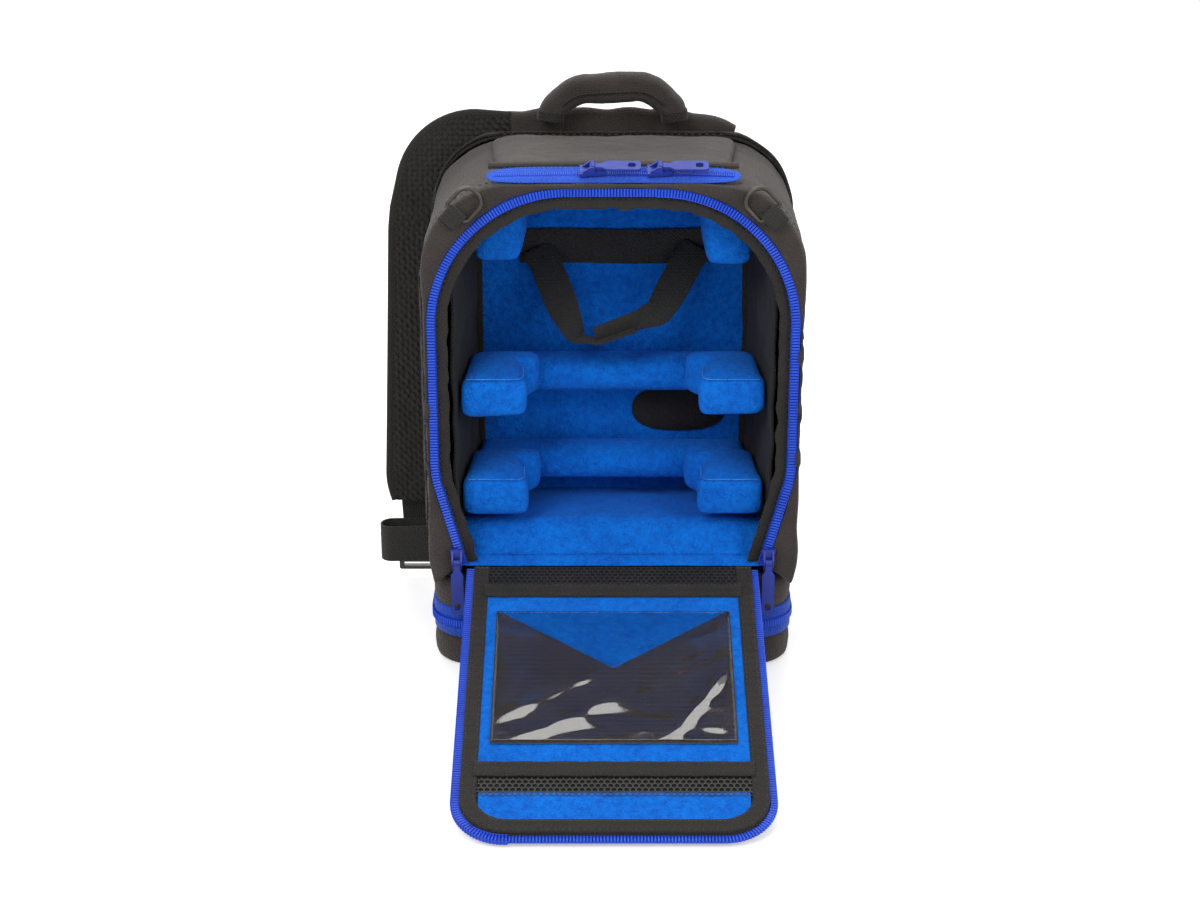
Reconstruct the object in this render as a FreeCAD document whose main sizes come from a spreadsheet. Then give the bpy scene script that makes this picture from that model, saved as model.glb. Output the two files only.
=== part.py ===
import FreeCAD, Part
import math
import os
import re

import Sketcher
from FreeCAD import Placement, Rotation, Vector

# Padded equipment backpack, standing on its base with the front flap laid down before it.
# X runs across the bag, Y from its front to its back, Z up; all sizes are in millimetres.
# The origin is the middle of the face that the bag stands on.

SIZES = {
    # Shell
    "body_width": 302, "body_depth": 156, "shell_top": 410, "shell_corner": 70, "wall": 9,
    "back_top": 420, "back_corner": 60, "back_pad": 16, "front_pad": 10, "seat": 0.3,
    # Base compartment
    "base_width": 296, "base_height": 76, "base_corner": 32, "base_wall": 8, "base_sole": 10,
    "base_zip_height": 39, "base_tape_width": 26, "base_tape_rise": 1.6, "tape_depth": 2.5,
    "base_coil_width": 6, "base_coil_rise": 1.4,
    "coil_lap": 0.2,
    # Main opening and its zip
    "opening_width": 280, "opening_top": 400, "opening_corner": 105, "bulge_height": 170,
    "bulge_corner": 80, "hinge_height": 93, "hinge_width": 238, "chain_width": 7, "chain_depth": 4, "chain_play": 0.05,
    "binding_width": 9, "binding_depth": 6,
    # Lining, floor and shelves
    "lining": 5, "side_front": 127.5, "side_back": 115, "floor_height": 95,
    "floor_front": 97, "floor_crest": 120, "floor_back": 106, "crest_back": 30,
    "shelf_bar_depth": 40, "shelf_bar_height": 31, "upper_bar_height": 205,
    "lower_bar_height": 126, "arm_reach": 80, "arm_width": 59, "arm_height": 37,
    "upper_arm_height": 212, "lower_arm_height": 126, "arm_chamfer": 14, "soft_edge": 7,
    "corner_block_width": 40, "corner_block_bottom": 340, "corner_block_length": 84,
    "corner_block_out": 112, "corner_block_front": 22, "corner_block_drop": 11,
    # Retention loop and vent on the back lining
    "band_left": 78, "band_right": 85, "band_bottom": 309, "webbing_height": 30,
    "webbing_depth": 2, "loop_length": 84, "loop_tilt": 40, "loop_left": 31, "loop_right": 43,
    "loop_overlap": 8,
    "vent_width": 82, "vent_height": 41, "vent_side": 57, "vent_level": 178.5,
    # Front flap, measured along the flap from its hinge
    "flap_length": 302, "flap_width": 237, "flap_corner": 40, "flap_core": 7,
    "flap_cover": 2.5, "flap_start": 3, "flap_chain": 6, "flap_binding": 12, "table_gap": 1,
    "mesh_one_start": 6, "mesh_strip": 20, "bar_width": 15, "frame_length": 186,
    "mesh_two_length": 18, "window_width": 182, "window_length": 146, "window_start": 60,
    "sheet_depth": 0.8, "pocket_notch": 66,
    # Zip sliders and pullers
    "slider_length": 20, "slider_width": 11, "slider_plate": 3.2, "ear_width": 1.5,
    "pin_size": 2, "pin_gap": 0.3, "pin_fit": 0.1, "barrel_size": 5, "barrel_width": 5, "puller_width": 10,
    "puller_length": 46, "puller_plate": 2.4, "slider_start": -6,
    # Top pocket
    "pocket_width": 200, "pocket_front_lift": 10, "pocket_slope": 19, "pocket_back": 50,
    "pocket_tape": 18, "pocket_coil": 4, "pocket_layer": 1.2, "lip_width": 5, "slider_left": 16, "slider_right": 36,
    "pocket_puller_length": 37,
    # Rings
    "ring_side": 121, "ring_level": 388, "ring_width": 24, "ring_height": 26, "ring_wire": 2.8,
    "tab_width": 15, "tab_length": 16, "tab_depth": 6.4, "tab_slot": 0.7,
    # Handle and yoke
    "handle_top": 466, "handle_inner": 443, "handle_foot": 60, "handle_leg": 18,
    "handle_depth": 20, "handle_pivot": 432, "yoke_width": 200,
    "yoke_top": 432, "yoke_bottom": 396, "yoke_depth": 12,
    # Shoulder straps
    "strap_depth": 11, "mesh_depth": 3, "strap_width": 60, "strap_foot": 78,
    "left_strap_middle": 152, "left_strap_foot": 170, "right_strap_middle": 100,
    "right_strap_foot": 104, "strap_bow": 10, "strap_lean": 6,
    # Lower webbing and ladder buckles
    "tail_width": 34, "tail_lap": 20, "left_loop_end": 206, "right_loop_end": 142, "loop_depth": 22,
    "loop_bottom": 27, "loop_root": 60, "buckle_width": 42, "buckle_height": 16,
    "buckle_depth": 6, "buckle_level": 10, "slot_height": 4,
    # Side pieces
    "side_mesh_depth": 3, "side_mesh_bottom": 110, "side_mesh_top": 325, "side_mesh_back": 50,
    "side_tab_depth": 3, "side_tab_bottom": 107, "side_tab_top": 178, "side_tab_width": 30,
    "side_tab_place": 18,
}

doc = FreeCAD.newDocument("backpack")
sheet = doc.addObject("Spreadsheet::Sheet", "Sizes")
for row, (alias, value) in enumerate(SIZES.items(), 1):
    sheet.set(f"A{row}", alias)
    sheet.set(f"B{row}", str(value))
    sheet.setAlias(f"B{row}", alias)
doc.recompute()

PARTS = []
PLANES = {"XY": "XY_Plane", "XZ": "XZ_Plane", "YZ": "YZ_Plane"}
FRONT = "-body_depth / 2"
BACK = "body_depth / 2"
INSIDE_BACK = "(body_depth / 2 - back_pad)"
LINING_FACE = "(body_depth / 2 - back_pad - lining)"
FLAP_DEPTH = "(flap_core + flap_cover)"
POCKET_FRONT = "(chain_depth + seat - body_depth / 2)"
POCKET_BASE = "(shell_top + seat)"
POCKET_TILT = "atan(pocket_front_lift / pocket_slope)"
SIDE_LEAN = ("(side_front - side_back) / (body_depth - front_pad - back_pad - lining)")


def bound(text):
    """Point every sheet name in a formula at its cell."""
    return re.sub(r"[a-z_]+", lambda word: "Sizes." + word[0] if word[0] in SIZES else word[0],
                  str(text))


def add_body(label):
    body = doc.addObject("PartDesign::Body", label)
    body.Label = label
    return body


def add_sketch(body, plane, start):
    """A sketch on one of the body's own origin planes, moved along +X, +Y or +Z to start."""
    sketch = body.newObject("Sketcher::SketchObject", body.Name + "_outline")
    face = [item for item in body.Origin.OriginFeatures if item.Role == PLANES[plane]][0]
    sketch.AttachmentSupport = [(face, "")]
    sketch.MapMode = "FlatFace"
    side = "-1" if plane == "XZ" else "1"
    sketch.setExpression("AttachmentOffset.Base.z", bound(f"{side} * ({start})"))
    return sketch


def draw_polygon(sketch, corners):
    """Close a polygon through corners, each a pair of formulas measured from the origin."""
    first = sketch.GeometryCount
    count = len(corners)
    ring = [Vector(50 * math.cos(step), 50 * math.sin(step), 0)
            for step in (2 * math.pi * index / count for index in range(count))]
    for index in range(count):
        sketch.addGeometry(Part.LineSegment(ring[index], ring[(index + 1) % count]))
    for index in range(count):
        follower = first + (index + 1) % count
        sketch.addConstraint(Sketcher.Constraint("Coincident", first + index, 2, follower, 1))
    for index, corner in enumerate(corners):
        for kind, place, guess in zip(("DistanceX", "DistanceY"), corner, ring[index]):
            rule = sketch.addConstraint(
                Sketcher.Constraint(kind, -1, 1, first + index, 1, guess))
            sketch.setExpression(f"Constraints[{rule}]", bound(place))


def draw_circle(sketch, across, up, radius):
    index = sketch.addGeometry(Part.Circle(Vector(1, 1, 0), Vector(0, 0, 1), 1))
    for kind, place in (("DistanceX", across), ("DistanceY", up)):
        rule = sketch.addConstraint(Sketcher.Constraint(kind, -1, 1, index, 3, 1))
        sketch.setExpression(f"Constraints[{rule}]", bound(place))
    rule = sketch.addConstraint(Sketcher.Constraint("Radius", index, 1))
    sketch.setExpression(f"Constraints[{rule}]", bound(radius))


def pad(body, sketch, plane, length, middle=False):
    """Thicken a sketch towards +X, +Y or +Z, or evenly to both sides."""
    feature = body.newObject("PartDesign::Pad", body.Name + "_pad")
    feature.Profile = sketch
    feature.setExpression("Length", bound(length))
    feature.Reversed = plane == "XZ"
    feature.Midplane = middle
    return feature


def cut_through(body, plane, corners, rounds=()):
    """Cut a polygon right through the body, with its corners rounded."""
    sketch = add_sketch(body, plane, "0")
    draw_polygon(sketch, corners)
    feature = body.newObject("PartDesign::Pocket", body.Name + "_cut")
    feature.Profile = sketch
    feature.Type = "ThroughAll"
    feature.Midplane = True
    round_corners(body, sketch, rounds)


def cut_hole(body, plane, across, up, radius):
    sketch = add_sketch(body, plane, "0")
    draw_circle(sketch, across, up, radius)
    feature = body.newObject("PartDesign::Pocket", body.Name + "_hole")
    feature.Profile = sketch
    feature.Type = "ThroughAll"
    feature.Midplane = True


def round_corners(body, sketch, rounds):
    """Round the edges that stand on the named corners of the sketch."""
    for radius, corners in rounds:
        doc.recompute()
        base = body.Tip
        normal = sketch.Placement.Rotation.multVec(Vector(0, 0, 1))
        names = []
        for corner in corners:
            place = sketch.Placement.multVec(sketch.Geometry[corner].StartPoint)
            for index, edge in enumerate(base.Shape.Edges, 1):
                across = edge.CenterOfMass - place
                if (across - normal * across.dot(normal)).Length < 0.01:
                    names.append(f"Edge{index}")
        fillet = body.newObject("PartDesign::Fillet", body.Name + "_round")
        fillet.Base = (base, names)
        fillet.setExpression("Radius", bound(radius))


def soften(body, radius):
    """Round every edge of a padded piece."""
    doc.recompute()
    base = body.Tip
    fillet = body.newObject("PartDesign::Fillet", body.Name + "_soft")
    fillet.Base = (base, [f"Edge{index}" for index in range(1, len(base.Shape.Edges) + 1)])
    fillet.setExpression("Radius", bound(radius))


def slab(label, plane, corners, start, length, rounds=(), edge=None, keep=True):
    """A padded polygon: start is its face nearest -X, -Y or -Z and length its thickness."""
    body = add_body(label)
    sketch = add_sketch(body, plane, start)
    draw_polygon(sketch, corners)
    pad(body, sketch, plane, length)
    round_corners(body, sketch, rounds)
    if edge is not None:
        soften(body, edge)
    if keep:
        PARTS.append(body)
    return body


def combined(kind, label, property_name, pieces, keep=True):
    """A Part feature made of other bodies."""
    piece = doc.addObject(kind, label)
    piece.Label = label
    setattr(piece, property_name, pieces)
    if keep:
        PARTS.append(piece)
    return piece


def shared(label, first, second):
    """The part that two bodies have in common."""
    return combined("Part::MultiCommon", label, "Shapes", [first, second])


def group(label, pieces):
    """Several separate solids of one kind, kept as one node."""
    return combined("Part::Compound", label, "Links", pieces)


def framed(label, plane, corners, hole, start, length, rounds=(), hole_rounds=(), keep=True):
    """A slab with a rounded hole right through it, which may be open at its side."""
    blank = slab(f"{label}_blank", plane, corners, start, length, rounds, keep=False)
    tool = slab(f"{label}_tool", plane, hole, f"{start} - 1", f"{length} + 2", hole_rounds,
                keep=False)
    return cut_piece(label, blank, tool, keep)


def cut_piece(label, blank, tool, keep=True):
    piece = doc.addObject("Part::Cut", label)
    piece.Label = label
    piece.Base = blank
    piece.Tool = tool
    if keep:
        PARTS.append(piece)
    return piece


def box_corners(left, right, bottom, top):
    return [(left, bottom), (right, bottom), (right, top), (left, top)]


def put_on_flap(body):
    """Lay a piece of the flap on its slope: hinge at the origin, length along -Y."""
    body.setExpression("Placement.Base.y", bound(FRONT + " - seat"))
    body.setExpression("Placement.Base.z", bound("hinge_height"))
    body.Placement.Rotation = Rotation(Vector(1, 0, 0), 10)
    body.setExpression("Placement.Rotation.Angle", bound(
        f"asin((hinge_height - {FLAP_DEPTH} - table_gap) / flap_length)"))


# ---------------------------------------------------------------- outlines shared by pieces

def arch(out):
    """The main opening's outline, from its left hinge corner round to the right one."""
    low = f"(hinge_width / 2 + {out})"
    wide = f"(opening_width / 2 + {out})"
    top = f"(opening_top + {out})"
    return [(f"-{low}", "hinge_height"), (low, "hinge_height"), (wide, "bulge_height"),
            (wide, top), (f"-{wide}", top), (f"-{wide}", "bulge_height")]


def arch_rounds(out):
    return [(f"opening_corner + {out}", (3, 4)), (f"bulge_corner + {out}", (2, 5))]


def arch_band(label, outer, inner, start, length):
    """A strip that follows the opening's outline and is open at the hinge."""
    return framed(label, "XZ", arch(outer), arch(inner), start, length, arch_rounds(outer),
                  arch_rounds(inner))


# ------------------------------------------------------------------------- outer shell

def outer_shell():
    half = "body_width / 2"
    arc = "(shell_top - shell_corner)"
    front = FRONT + " + front_pad"
    depth = "body_depth - front_pad - back_pad"
    panels = []
    gussets = []
    for side, sign in (("left", "-1"), ("right", "1")):
        near = f"{sign} * ({half} - wall)"
        panels.append(slab(f"{side}_panel", "XZ",
                           box_corners(near, f"{sign} * {half}", "base_height", arc),
                           front, depth, keep=False))
        flank = f"{sign} * ({half} - shell_corner)"
        gussets.append(framed(f"{side}_gusset", "XZ",
                              box_corners(flank, f"{sign} * {half}", arc, "shell_top"),
                              box_corners(flank, near, arc, "shell_top - wall"), front, depth,
                              [("shell_corner - 0.5", (2,))],
                              [("shell_corner - wall - 0.5", (2,))], keep=False))
    group("side_panels", panels)
    group("corner_gussets", gussets)
    slab("top_panel", "XZ",
         box_corners(f"-({half} - shell_corner)", f"({half} - shell_corner)",
                     "shell_top - wall", "shell_top"), front, depth)
    slab("back_panel", "XZ", box_corners(f"-{half}", half, "base_height", "back_top"),
         INSIDE_BACK, "back_pad", [("back_corner", (2, 3))])
    framed("front_surround", "XZ", box_corners(f"-{half}", half, "base_height", "shell_top"),
           arch("chain_width"), FRONT, "front_pad", [("shell_corner", (2, 3))],
           arch_rounds("chain_width"))


def opening_zip():
    arch_band("opening_zip_chain", "(chain_width - chain_play)", "0", FRONT, "chain_depth")
    arch_band("opening_binding", "-chain_play", "-binding_width", FRONT + " + 1",
              "binding_depth")


# --------------------------------------------------------------------- base compartment

def base_outline(out):
    side = f"(base_width / 2 + {out})"
    deep = f"(body_depth / 2 + {out})"
    return box_corners(f"-{side}", side, f"-{deep}", deep)


def base_ring(label, out, inside, bottom, height, keep=False):
    """A wall round the base with rounded corners, out beyond and inside within its face."""
    return framed(label, "XY", base_outline(out), base_outline(f"-{inside}"), bottom, height,
                  [(f"base_corner + {out}", (0, 1, 2, 3))],
                  [(f"base_corner - {inside}", (0, 1, 2, 3))], keep=keep)


def base_compartment():
    tape_bottom = "(base_zip_height - base_tape_width / 2)"
    tape_top = "(base_zip_height + base_tape_width / 2)"
    sole = slab("base_sole", "XY", base_outline("0"), "0", "base_sole",
                [("base_corner", (0, 1, 2, 3))], keep=False)
    rim = base_ring("base_rim", "0", "base_wall", "base_sole", f"({tape_bottom} - base_sole)")
    combined("Part::MultiFuse", "base_tray", "Shapes", [sole, rim])
    rear = slab("rear_zone", "XY",
                box_corners("-body_width", "body_width", "body_depth / 2 - base_corner",
                            "body_depth"), "0", "base_height", keep=False)
    tape = base_ring("base_tape", "base_tape_rise", "(tape_depth - base_tape_rise)",
                     tape_bottom, "base_tape_width")
    coil = base_ring("base_coil", "(base_tape_rise + base_coil_rise)",
                     "(coil_lap - base_tape_rise)",
                     "(base_zip_height - base_coil_width / 2)", "base_coil_width")
    zip_loop = combined("Part::MultiFuse", "base_zip_loop", "Shapes", [tape, coil],
                        keep=False)
    cut_piece("base_zip", zip_loop, rear)
    band = base_ring("base_band", "0", "base_wall", tape_bottom, "base_tape_width")
    rear_band = combined("Part::MultiCommon", "base_rear_band", "Shapes", [band, rear],
                         keep=False)
    upper = base_ring("base_upper_ring", "0", "base_wall", tape_top,
                      f"(base_height - {tape_top})")
    combined("Part::MultiFuse", "base_upper_wall", "Shapes", [upper, rear_band])
    slab("main_floor", "XY",
         box_corners("-(body_width / 2 - wall)", "(body_width / 2 - wall)",
                     FRONT + " + front_pad", INSIDE_BACK),
         "base_height", "floor_height - base_height")


# --------------------------------------------------------------------- lining and shelves

def side_face(sign, place):
    """X of the padded side lining's inner face at a depth measured from the front pad."""
    return f"{sign} * (side_front - ({place}) * {SIDE_LEAN})"


def inner_lining():
    wall = "(body_width / 2 - wall)"
    front = "(front_pad - body_depth / 2)"
    linings = []
    blocks = []
    for side, sign in (("left", "-1"), ("right", "1")):
        linings.append(slab(
            f"{side}_lining", "XY",
            [(f"{sign} * {wall}", front), (f"{sign} * side_front", front),
             (f"{sign} * side_back", LINING_FACE), (f"{sign} * {wall}", LINING_FACE)],
            "floor_height", "shell_top - shell_corner - floor_height", keep=False))
        out = f"{sign} * corner_block_out"
        near = f"{sign} * (corner_block_out - corner_block_width)"
        blocks.append(slab(
            f"{side}_block", "XZ",
            [(near, "corner_block_bottom"), (out, "corner_block_bottom"),
             (out, "shell_top - wall - corner_block_drop"),
             (f"{near} + {sign} * corner_block_drop * 1.3", "shell_top - wall - seat"),
             (near, "shell_top - wall - seat")],
            f"{front} + corner_block_front", "corner_block_length", edge="soft_edge",
            keep=False))
    group("side_linings", linings)
    group("corner_blocks", blocks)
    lower = slab("lower_back_lining", "XZ",
                 box_corners(f"-{wall}", wall, "floor_height", "shell_top - shell_corner"),
                 LINING_FACE, "lining", keep=False)
    upper = slab("upper_back_lining", "XZ",
                 box_corners("-side_back", "side_back", "shell_top - shell_corner",
                             "shell_top - wall - corner_block_drop"),
                 LINING_FACE, "lining", [("corner_block_width", (2, 3))], keep=False)
    combined("Part::MultiFuse", "back_lining", "Shapes", [lower, upper])
    profile = slab("floor_profile", "YZ",
                   [(front, "floor_height"), (LINING_FACE, "floor_height"),
                    (LINING_FACE, "floor_back"), (f"{front} + crest_back", "floor_crest"),
                    (front, "floor_front")],
                   "-side_front", "2 * side_front", [("soft_edge * 2", (3,))], keep=False)
    plan = slab("floor_plan", "XY",
                [("-side_front + 1", front), ("side_front - 1", front),
                 ("side_back - 1", LINING_FACE), ("-side_back + 1", LINING_FACE)],
                "floor_height", "floor_crest - floor_height + 5", keep=False)
    shared("floor_pad", profile, plan)


def shelves():
    front = "(front_pad - body_depth / 2 + 5)"
    bar_front = f"({LINING_FACE} - shelf_bar_depth)"
    for level in ("upper", "lower"):
        slab(f"{level}_shelf_bar", "XY",
             box_corners("-side_back + 1", "side_back - 1", bar_front, LINING_FACE),
             f"{level}_bar_height", "shelf_bar_height", edge="soft_edge")
        arms = []
        for side, sign in (("left", "-1"), ("right", "1")):
            reach = f"{bar_front} - seat"
            outer_front = side_face(sign, "5") + f" - {sign}"
            outer_back = side_face(sign, "5 + arm_reach") + f" - {sign}"
            inner = f"{sign} * (side_front - 3 - arm_width)"
            arms.append(slab(
                f"{level}_{side}_arm", "XY",
                [(outer_front, front), (inner, front),
                 (inner, f"{reach} - arm_chamfer"),
                 (f"{inner} - {sign} * arm_chamfer / 2", reach), (outer_back, reach)],
                f"{level}_arm_height", "arm_height", edge="soft_edge", keep=False))
        group(f"{level}_shelf_arms", arms)


def retention_loop():
    slab("anchor_band", "XZ",
         box_corners("-band_left", "band_right", "band_bottom",
                     "band_bottom + webbing_height"),
         f"{LINING_FACE} - webbing_depth", "webbing_depth")
    slab("mesh_vent", "XZ",
         box_corners("vent_side - vent_width / 2", "vent_side + vent_width / 2",
                     "vent_level - vent_height / 2", "vent_level + vent_height / 2"),
         f"{LINING_FACE} - webbing_depth", "webbing_depth",
         [("vent_height / 2 - 1", (0, 1, 2, 3))])
    strap = "webbing_height"
    halves = {
        "left": [("-band_left", "0"), (f"{strap} - band_left", "0"),
                 (f"{strap} - loop_left - 20", f"{strap} - loop_length"),
                 ("loop_overlap", f"{strap} - loop_length + 8"),
                 ("loop_overlap + 6", "8 - loop_length + 4"), ("-loop_left - 4", "-loop_length")],
        "right": [("band_right", "0"), (f"band_right - {strap}", "0"),
                  (f"loop_right + 20 - {strap}", f"{strap} + 18 - loop_length"),
                  ("-loop_overlap", f"{strap} - loop_length + 6"),
                  ("-loop_overlap - 6", "6 - loop_length + 2"),
                  ("loop_right + 4", "24 - loop_length")],
    }
    for layer, (side, corners) in enumerate(halves.items(), 1):
        half = slab(f"retention_{side}_strap", "XZ", corners,
                    f"-{layer} * (webbing_depth + seat)", "webbing_depth")
        half.setExpression("Placement.Base.y", bound(f"{LINING_FACE} - webbing_depth"))
        half.setExpression("Placement.Base.z", bound("band_bottom + webbing_height / 2"))
        half.Placement.Rotation = Rotation(Vector(-1, 0, 0), 10)
        half.setExpression("Placement.Rotation.Angle", bound("loop_tilt * 1 deg"))


# ------------------------------------------------------------------------------- flap

def flap_outline(inset, far):
    half = f"(flap_width / 2 - {inset})"
    return box_corners(f"-{half}", half, f"-{far}", "-flap_start")


def flap_piece(label, corners, bottom, height, rounds=(), hole=None, hole_rounds=(),
               keep=True):
    if hole:
        body = framed(label, "XY", corners, hole, bottom, height, rounds, hole_rounds,
                      keep=keep)
    else:
        body = slab(label, "XY", corners, bottom, height, rounds, keep=keep)
    put_on_flap(body)
    return body


def open_at_hinge(outline):
    return [(place, "0" if level == "-flap_start" else level) for place, level in outline]


def flap():
    lining = "(flap_chain + flap_binding)"
    side = f"(flap_width / 2 - {lining})"
    core = flap_outline("flap_chain", "(flap_length - flap_chain)")
    core_rounds = [("flap_corner - flap_chain", (0, 1))]
    flap_piece("flap_panel", core, f"-{FLAP_DEPTH}", "flap_core", core_rounds)
    flap_piece("flap_zip_chain", flap_outline("0", "flap_length"), "-flap_core - 1", "4",
               [("flap_corner", (0, 1))], open_at_hinge(core), core_rounds)
    inner = flap_outline(lining, f"(flap_length - {lining})")
    inner_rounds = [(f"flap_corner - {lining}", (0, 1))]
    flap_piece("flap_binding", core, "-flap_cover", "flap_cover", core_rounds,
               open_at_hinge(inner), inner_rounds)
    lengths = ["mesh_one_start", "mesh_strip", "bar_width", "frame_length", "bar_width",
               "mesh_two_length"]
    stops = [" + ".join(lengths[:count]) for count in range(2, len(lengths) + 1)]
    stops = ["flap_start"] + [f"({stop})" for stop in stops] + [f"(flap_length - {lining})"]
    strips = [box_corners(f"-{side}", side, f"-{stop}", f"-{start}")
              for start, stop in zip(stops, stops[1:])]
    window = box_corners("-window_width / 2", "window_width / 2",
                         "-window_start - window_length", "-window_start")
    mesh = [flap_piece(f"{name}_flap_mesh", strips[place], "-flap_cover", "flap_cover",
                       keep=False) for name, place in (("upper", 0), ("lower", 4))]
    bars = [flap_piece(f"{name}_flap_bar", strips[place], "-flap_cover", "flap_cover",
                       keep=False) for name, place in (("upper", 1), ("lower", 3))]
    fleece = [flap_piece("fleece_frame", strips[2], "-flap_cover", "flap_cover", (), window,
                         keep=False),
              flap_piece("fleece_tail", strips[5], "-flap_cover", "flap_cover", inner_rounds,
                         keep=False)]
    group("flap_mesh_strips", mesh)
    group("flap_bars", bars)
    group("flap_fleece", fleece)
    pane = box_corners("-window_width / 2 + 0.01", "window_width / 2 - 0.01",
                       "-window_start - window_length + 0.01", "-window_start - 0.01")
    flap_piece("flap_window", pane, "-flap_cover + 1.2", "sheet_depth")
    flap_piece("window_pocket",
               [pane[0], pane[1], pane[2], ("0", "-window_start - pocket_notch"), pane[3]],
               "-flap_cover", "sheet_depth")


# -------------------------------------------------------------------- sliders and pullers

def slider(label, place):
    """A zip slider: plate, two ears and the pin that its puller turns on."""
    body = add_body(label)
    half = "slider_width / 2"
    plate = add_sketch(body, "XZ", "0")
    draw_polygon(plate, [(f"-{half} + 2", "-slider_length / 2"),
                         (f"{half} - 2", "-slider_length / 2"), (half, "slider_length / 2"),
                         (f"-{half}", "slider_length / 2")])
    pad(body, plate, "XZ", "slider_plate")
    axis = "(slider_plate + barrel_size / 2 + 0.7)"
    gap = "(barrel_width / 2 + pin_gap)"
    for near in (gap, f"-{gap} - ear_width"):
        ear = add_sketch(body, "YZ", near)
        draw_polygon(ear, [("slider_plate - 0.5", "-barrel_size / 2"),
                           (f"{axis} + pin_size", "-pin_size / 2"),
                           (f"{axis} + pin_size", "pin_size"),
                           ("slider_plate - 0.5", "slider_length / 2 - 1")])
        pad(body, ear, "YZ", "ear_width")
    pin = add_sketch(body, "YZ", f"-{gap} - ear_width / 2")
    draw_circle(pin, axis, "0", "pin_size / 2")
    pad(body, pin, "YZ", f"2 * {gap} + ear_width")
    place_turned(body, place)
    PARTS.append(body)


def puller(label, place, length="puller_length"):
    """A zip puller: a barrel on the slider's pin and a long flat tab with a slot."""
    body = add_body(label)
    axis = "(slider_plate + barrel_size / 2 + 0.7)"
    barrel = add_sketch(body, "YZ", "-barrel_width / 2")
    draw_circle(barrel, axis, "0", "barrel_size / 2")
    pad(body, barrel, "YZ", "barrel_width")
    tab = add_sketch(body, "XZ", f"{axis} - puller_plate / 2")
    draw_polygon(tab, [("-barrel_width / 2", "-barrel_size / 2 + 0.6"),
                       ("-barrel_width / 2", "-barrel_size - 2"),
                       ("-puller_width / 2", "-barrel_size - 6"),
                       ("-puller_width / 2", f"-{length}"),
                       ("puller_width / 2", f"-{length}"),
                       ("puller_width / 2", "-barrel_size - 6"),
                       ("barrel_width / 2", "-barrel_size - 2"),
                       ("barrel_width / 2", "-barrel_size / 2 + 0.6")])
    pad(body, tab, "XZ", "puller_plate")
    round_corners(body, tab, [("puller_width / 4", (3, 4))])
    cut_hole(body, "YZ", axis, "0", "pin_size / 2 + pin_fit")
    cut_through(body, "XZ", box_corners("-puller_width / 4", "puller_width / 4",
                                        f"4 - {length}", f"10 - {length}"),
                [("puller_width / 5", (0, 1, 2, 3))])
    place_turned(body, place)
    PARTS.append(body)


def place_turned(body, place):
    """Place a slider or puller that was drawn facing +Y: spin it in its face, then aim it."""
    across, deep, high, spin, lean = place
    turned = Rotation(Vector(1, 0, 0), lean) * Rotation(Vector(0, 0, 1), 180)
    body.Placement = Placement(Vector(0, 0, 0), turned * Rotation(Vector(0, 1, 0), spin))
    body.setExpression("Placement.Base.x", bound(across))
    body.setExpression("Placement.Base.y", bound(deep))
    body.setExpression("Placement.Base.z", bound(high))


def sliders():
    face = FRONT + " - seat"
    rise = "(slider_start + slider_length / 2)"
    for side, sign in (("left", -1), ("right", 1)):
        across = f"{sign} * (hinge_width / 2 + slider_width / 2 + 1 + {rise} * 0.31)"
        high = f"hinge_height + {rise}"
        slider(f"{side}_zip_slider", (across, face, high, 0, 0))
        puller(f"{side}_zip_puller", (across, face, high, 0, 0))
    base = ("0", f"{FRONT} - base_tape_rise - base_coil_rise - seat", "base_zip_height")
    slider("base_zip_slider", (*base, 90, 0))
    puller("base_zip_puller", (*base, 90, 0))
    slope = math.degrees(math.atan2(SIZES["pocket_slope"], SIZES["pocket_front_lift"]))
    lift = "(2 * pocket_layer + 0.05 + seat)"
    deep = (f"{POCKET_FRONT} + pocket_tape / 2 * cos({POCKET_TILT}) "
            f"- {lift} * sin({POCKET_TILT})")
    high = (f"{POCKET_BASE} + pocket_tape / 2 * sin({POCKET_TILT}) "
            f"+ {lift} * cos({POCKET_TILT})")
    for side, place in (("left", "-slider_left"), ("right", "slider_right")):
        spot = (place, deep, high)
        slider(f"pocket_{side}_slider", (*spot, 90, -slope))
        puller(f"pocket_{side}_puller", (*spot, 90, -slope), "pocket_puller_length")


# ------------------------------------------------------------------------- top pocket

def top_pocket():
    half = "pocket_width / 2"
    front = POCKET_FRONT
    base = POCKET_BASE
    slope = f"({front} + pocket_slope)"
    profile = slab("pocket_profile", "YZ",
                   [(front, base), ("pocket_back", base), ("pocket_back", "back_top"),
                    (slope, f"{base} + pocket_front_lift")],
                   f"-{half}", "pocket_width", [("lip_width", (3,))], keep=False)
    plan = slab("pocket_plan", "XY", box_corners(f"-{half}", half, front, "pocket_back"),
                "shell_top", "back_top - shell_top + 6", [("pocket_slope", (0, 1))], keep=False)
    shared("top_pocket_cover", profile, plan)
    strips = []
    for name, start, width, layer in (("tape", "0", "pocket_tape", "0"),
                                      ("coil", "(pocket_tape - pocket_coil) / 2",
                                       "pocket_coil", "pocket_layer")):
        strip = slab(f"pocket_{name}", "XY",
                     box_corners(f"pocket_slope - {half}", f"{half} - pocket_slope",
                                 start, f"{start} + {width}"),
                     f"{layer} + 0.05", "pocket_layer", keep=False)
        strip.setExpression("Placement.Base.y", bound(front))
        strip.setExpression("Placement.Base.z", bound(base))
        strip.Placement.Rotation = Rotation(Vector(1, 0, 0), 10)
        strip.setExpression("Placement.Rotation.Angle", bound(POCKET_TILT))
        strips.append(strip)
    combined("Part::MultiFuse", "pocket_zip", "Shapes", strips)


# ---------------------------------------------------------------- rings, handle, straps

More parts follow.
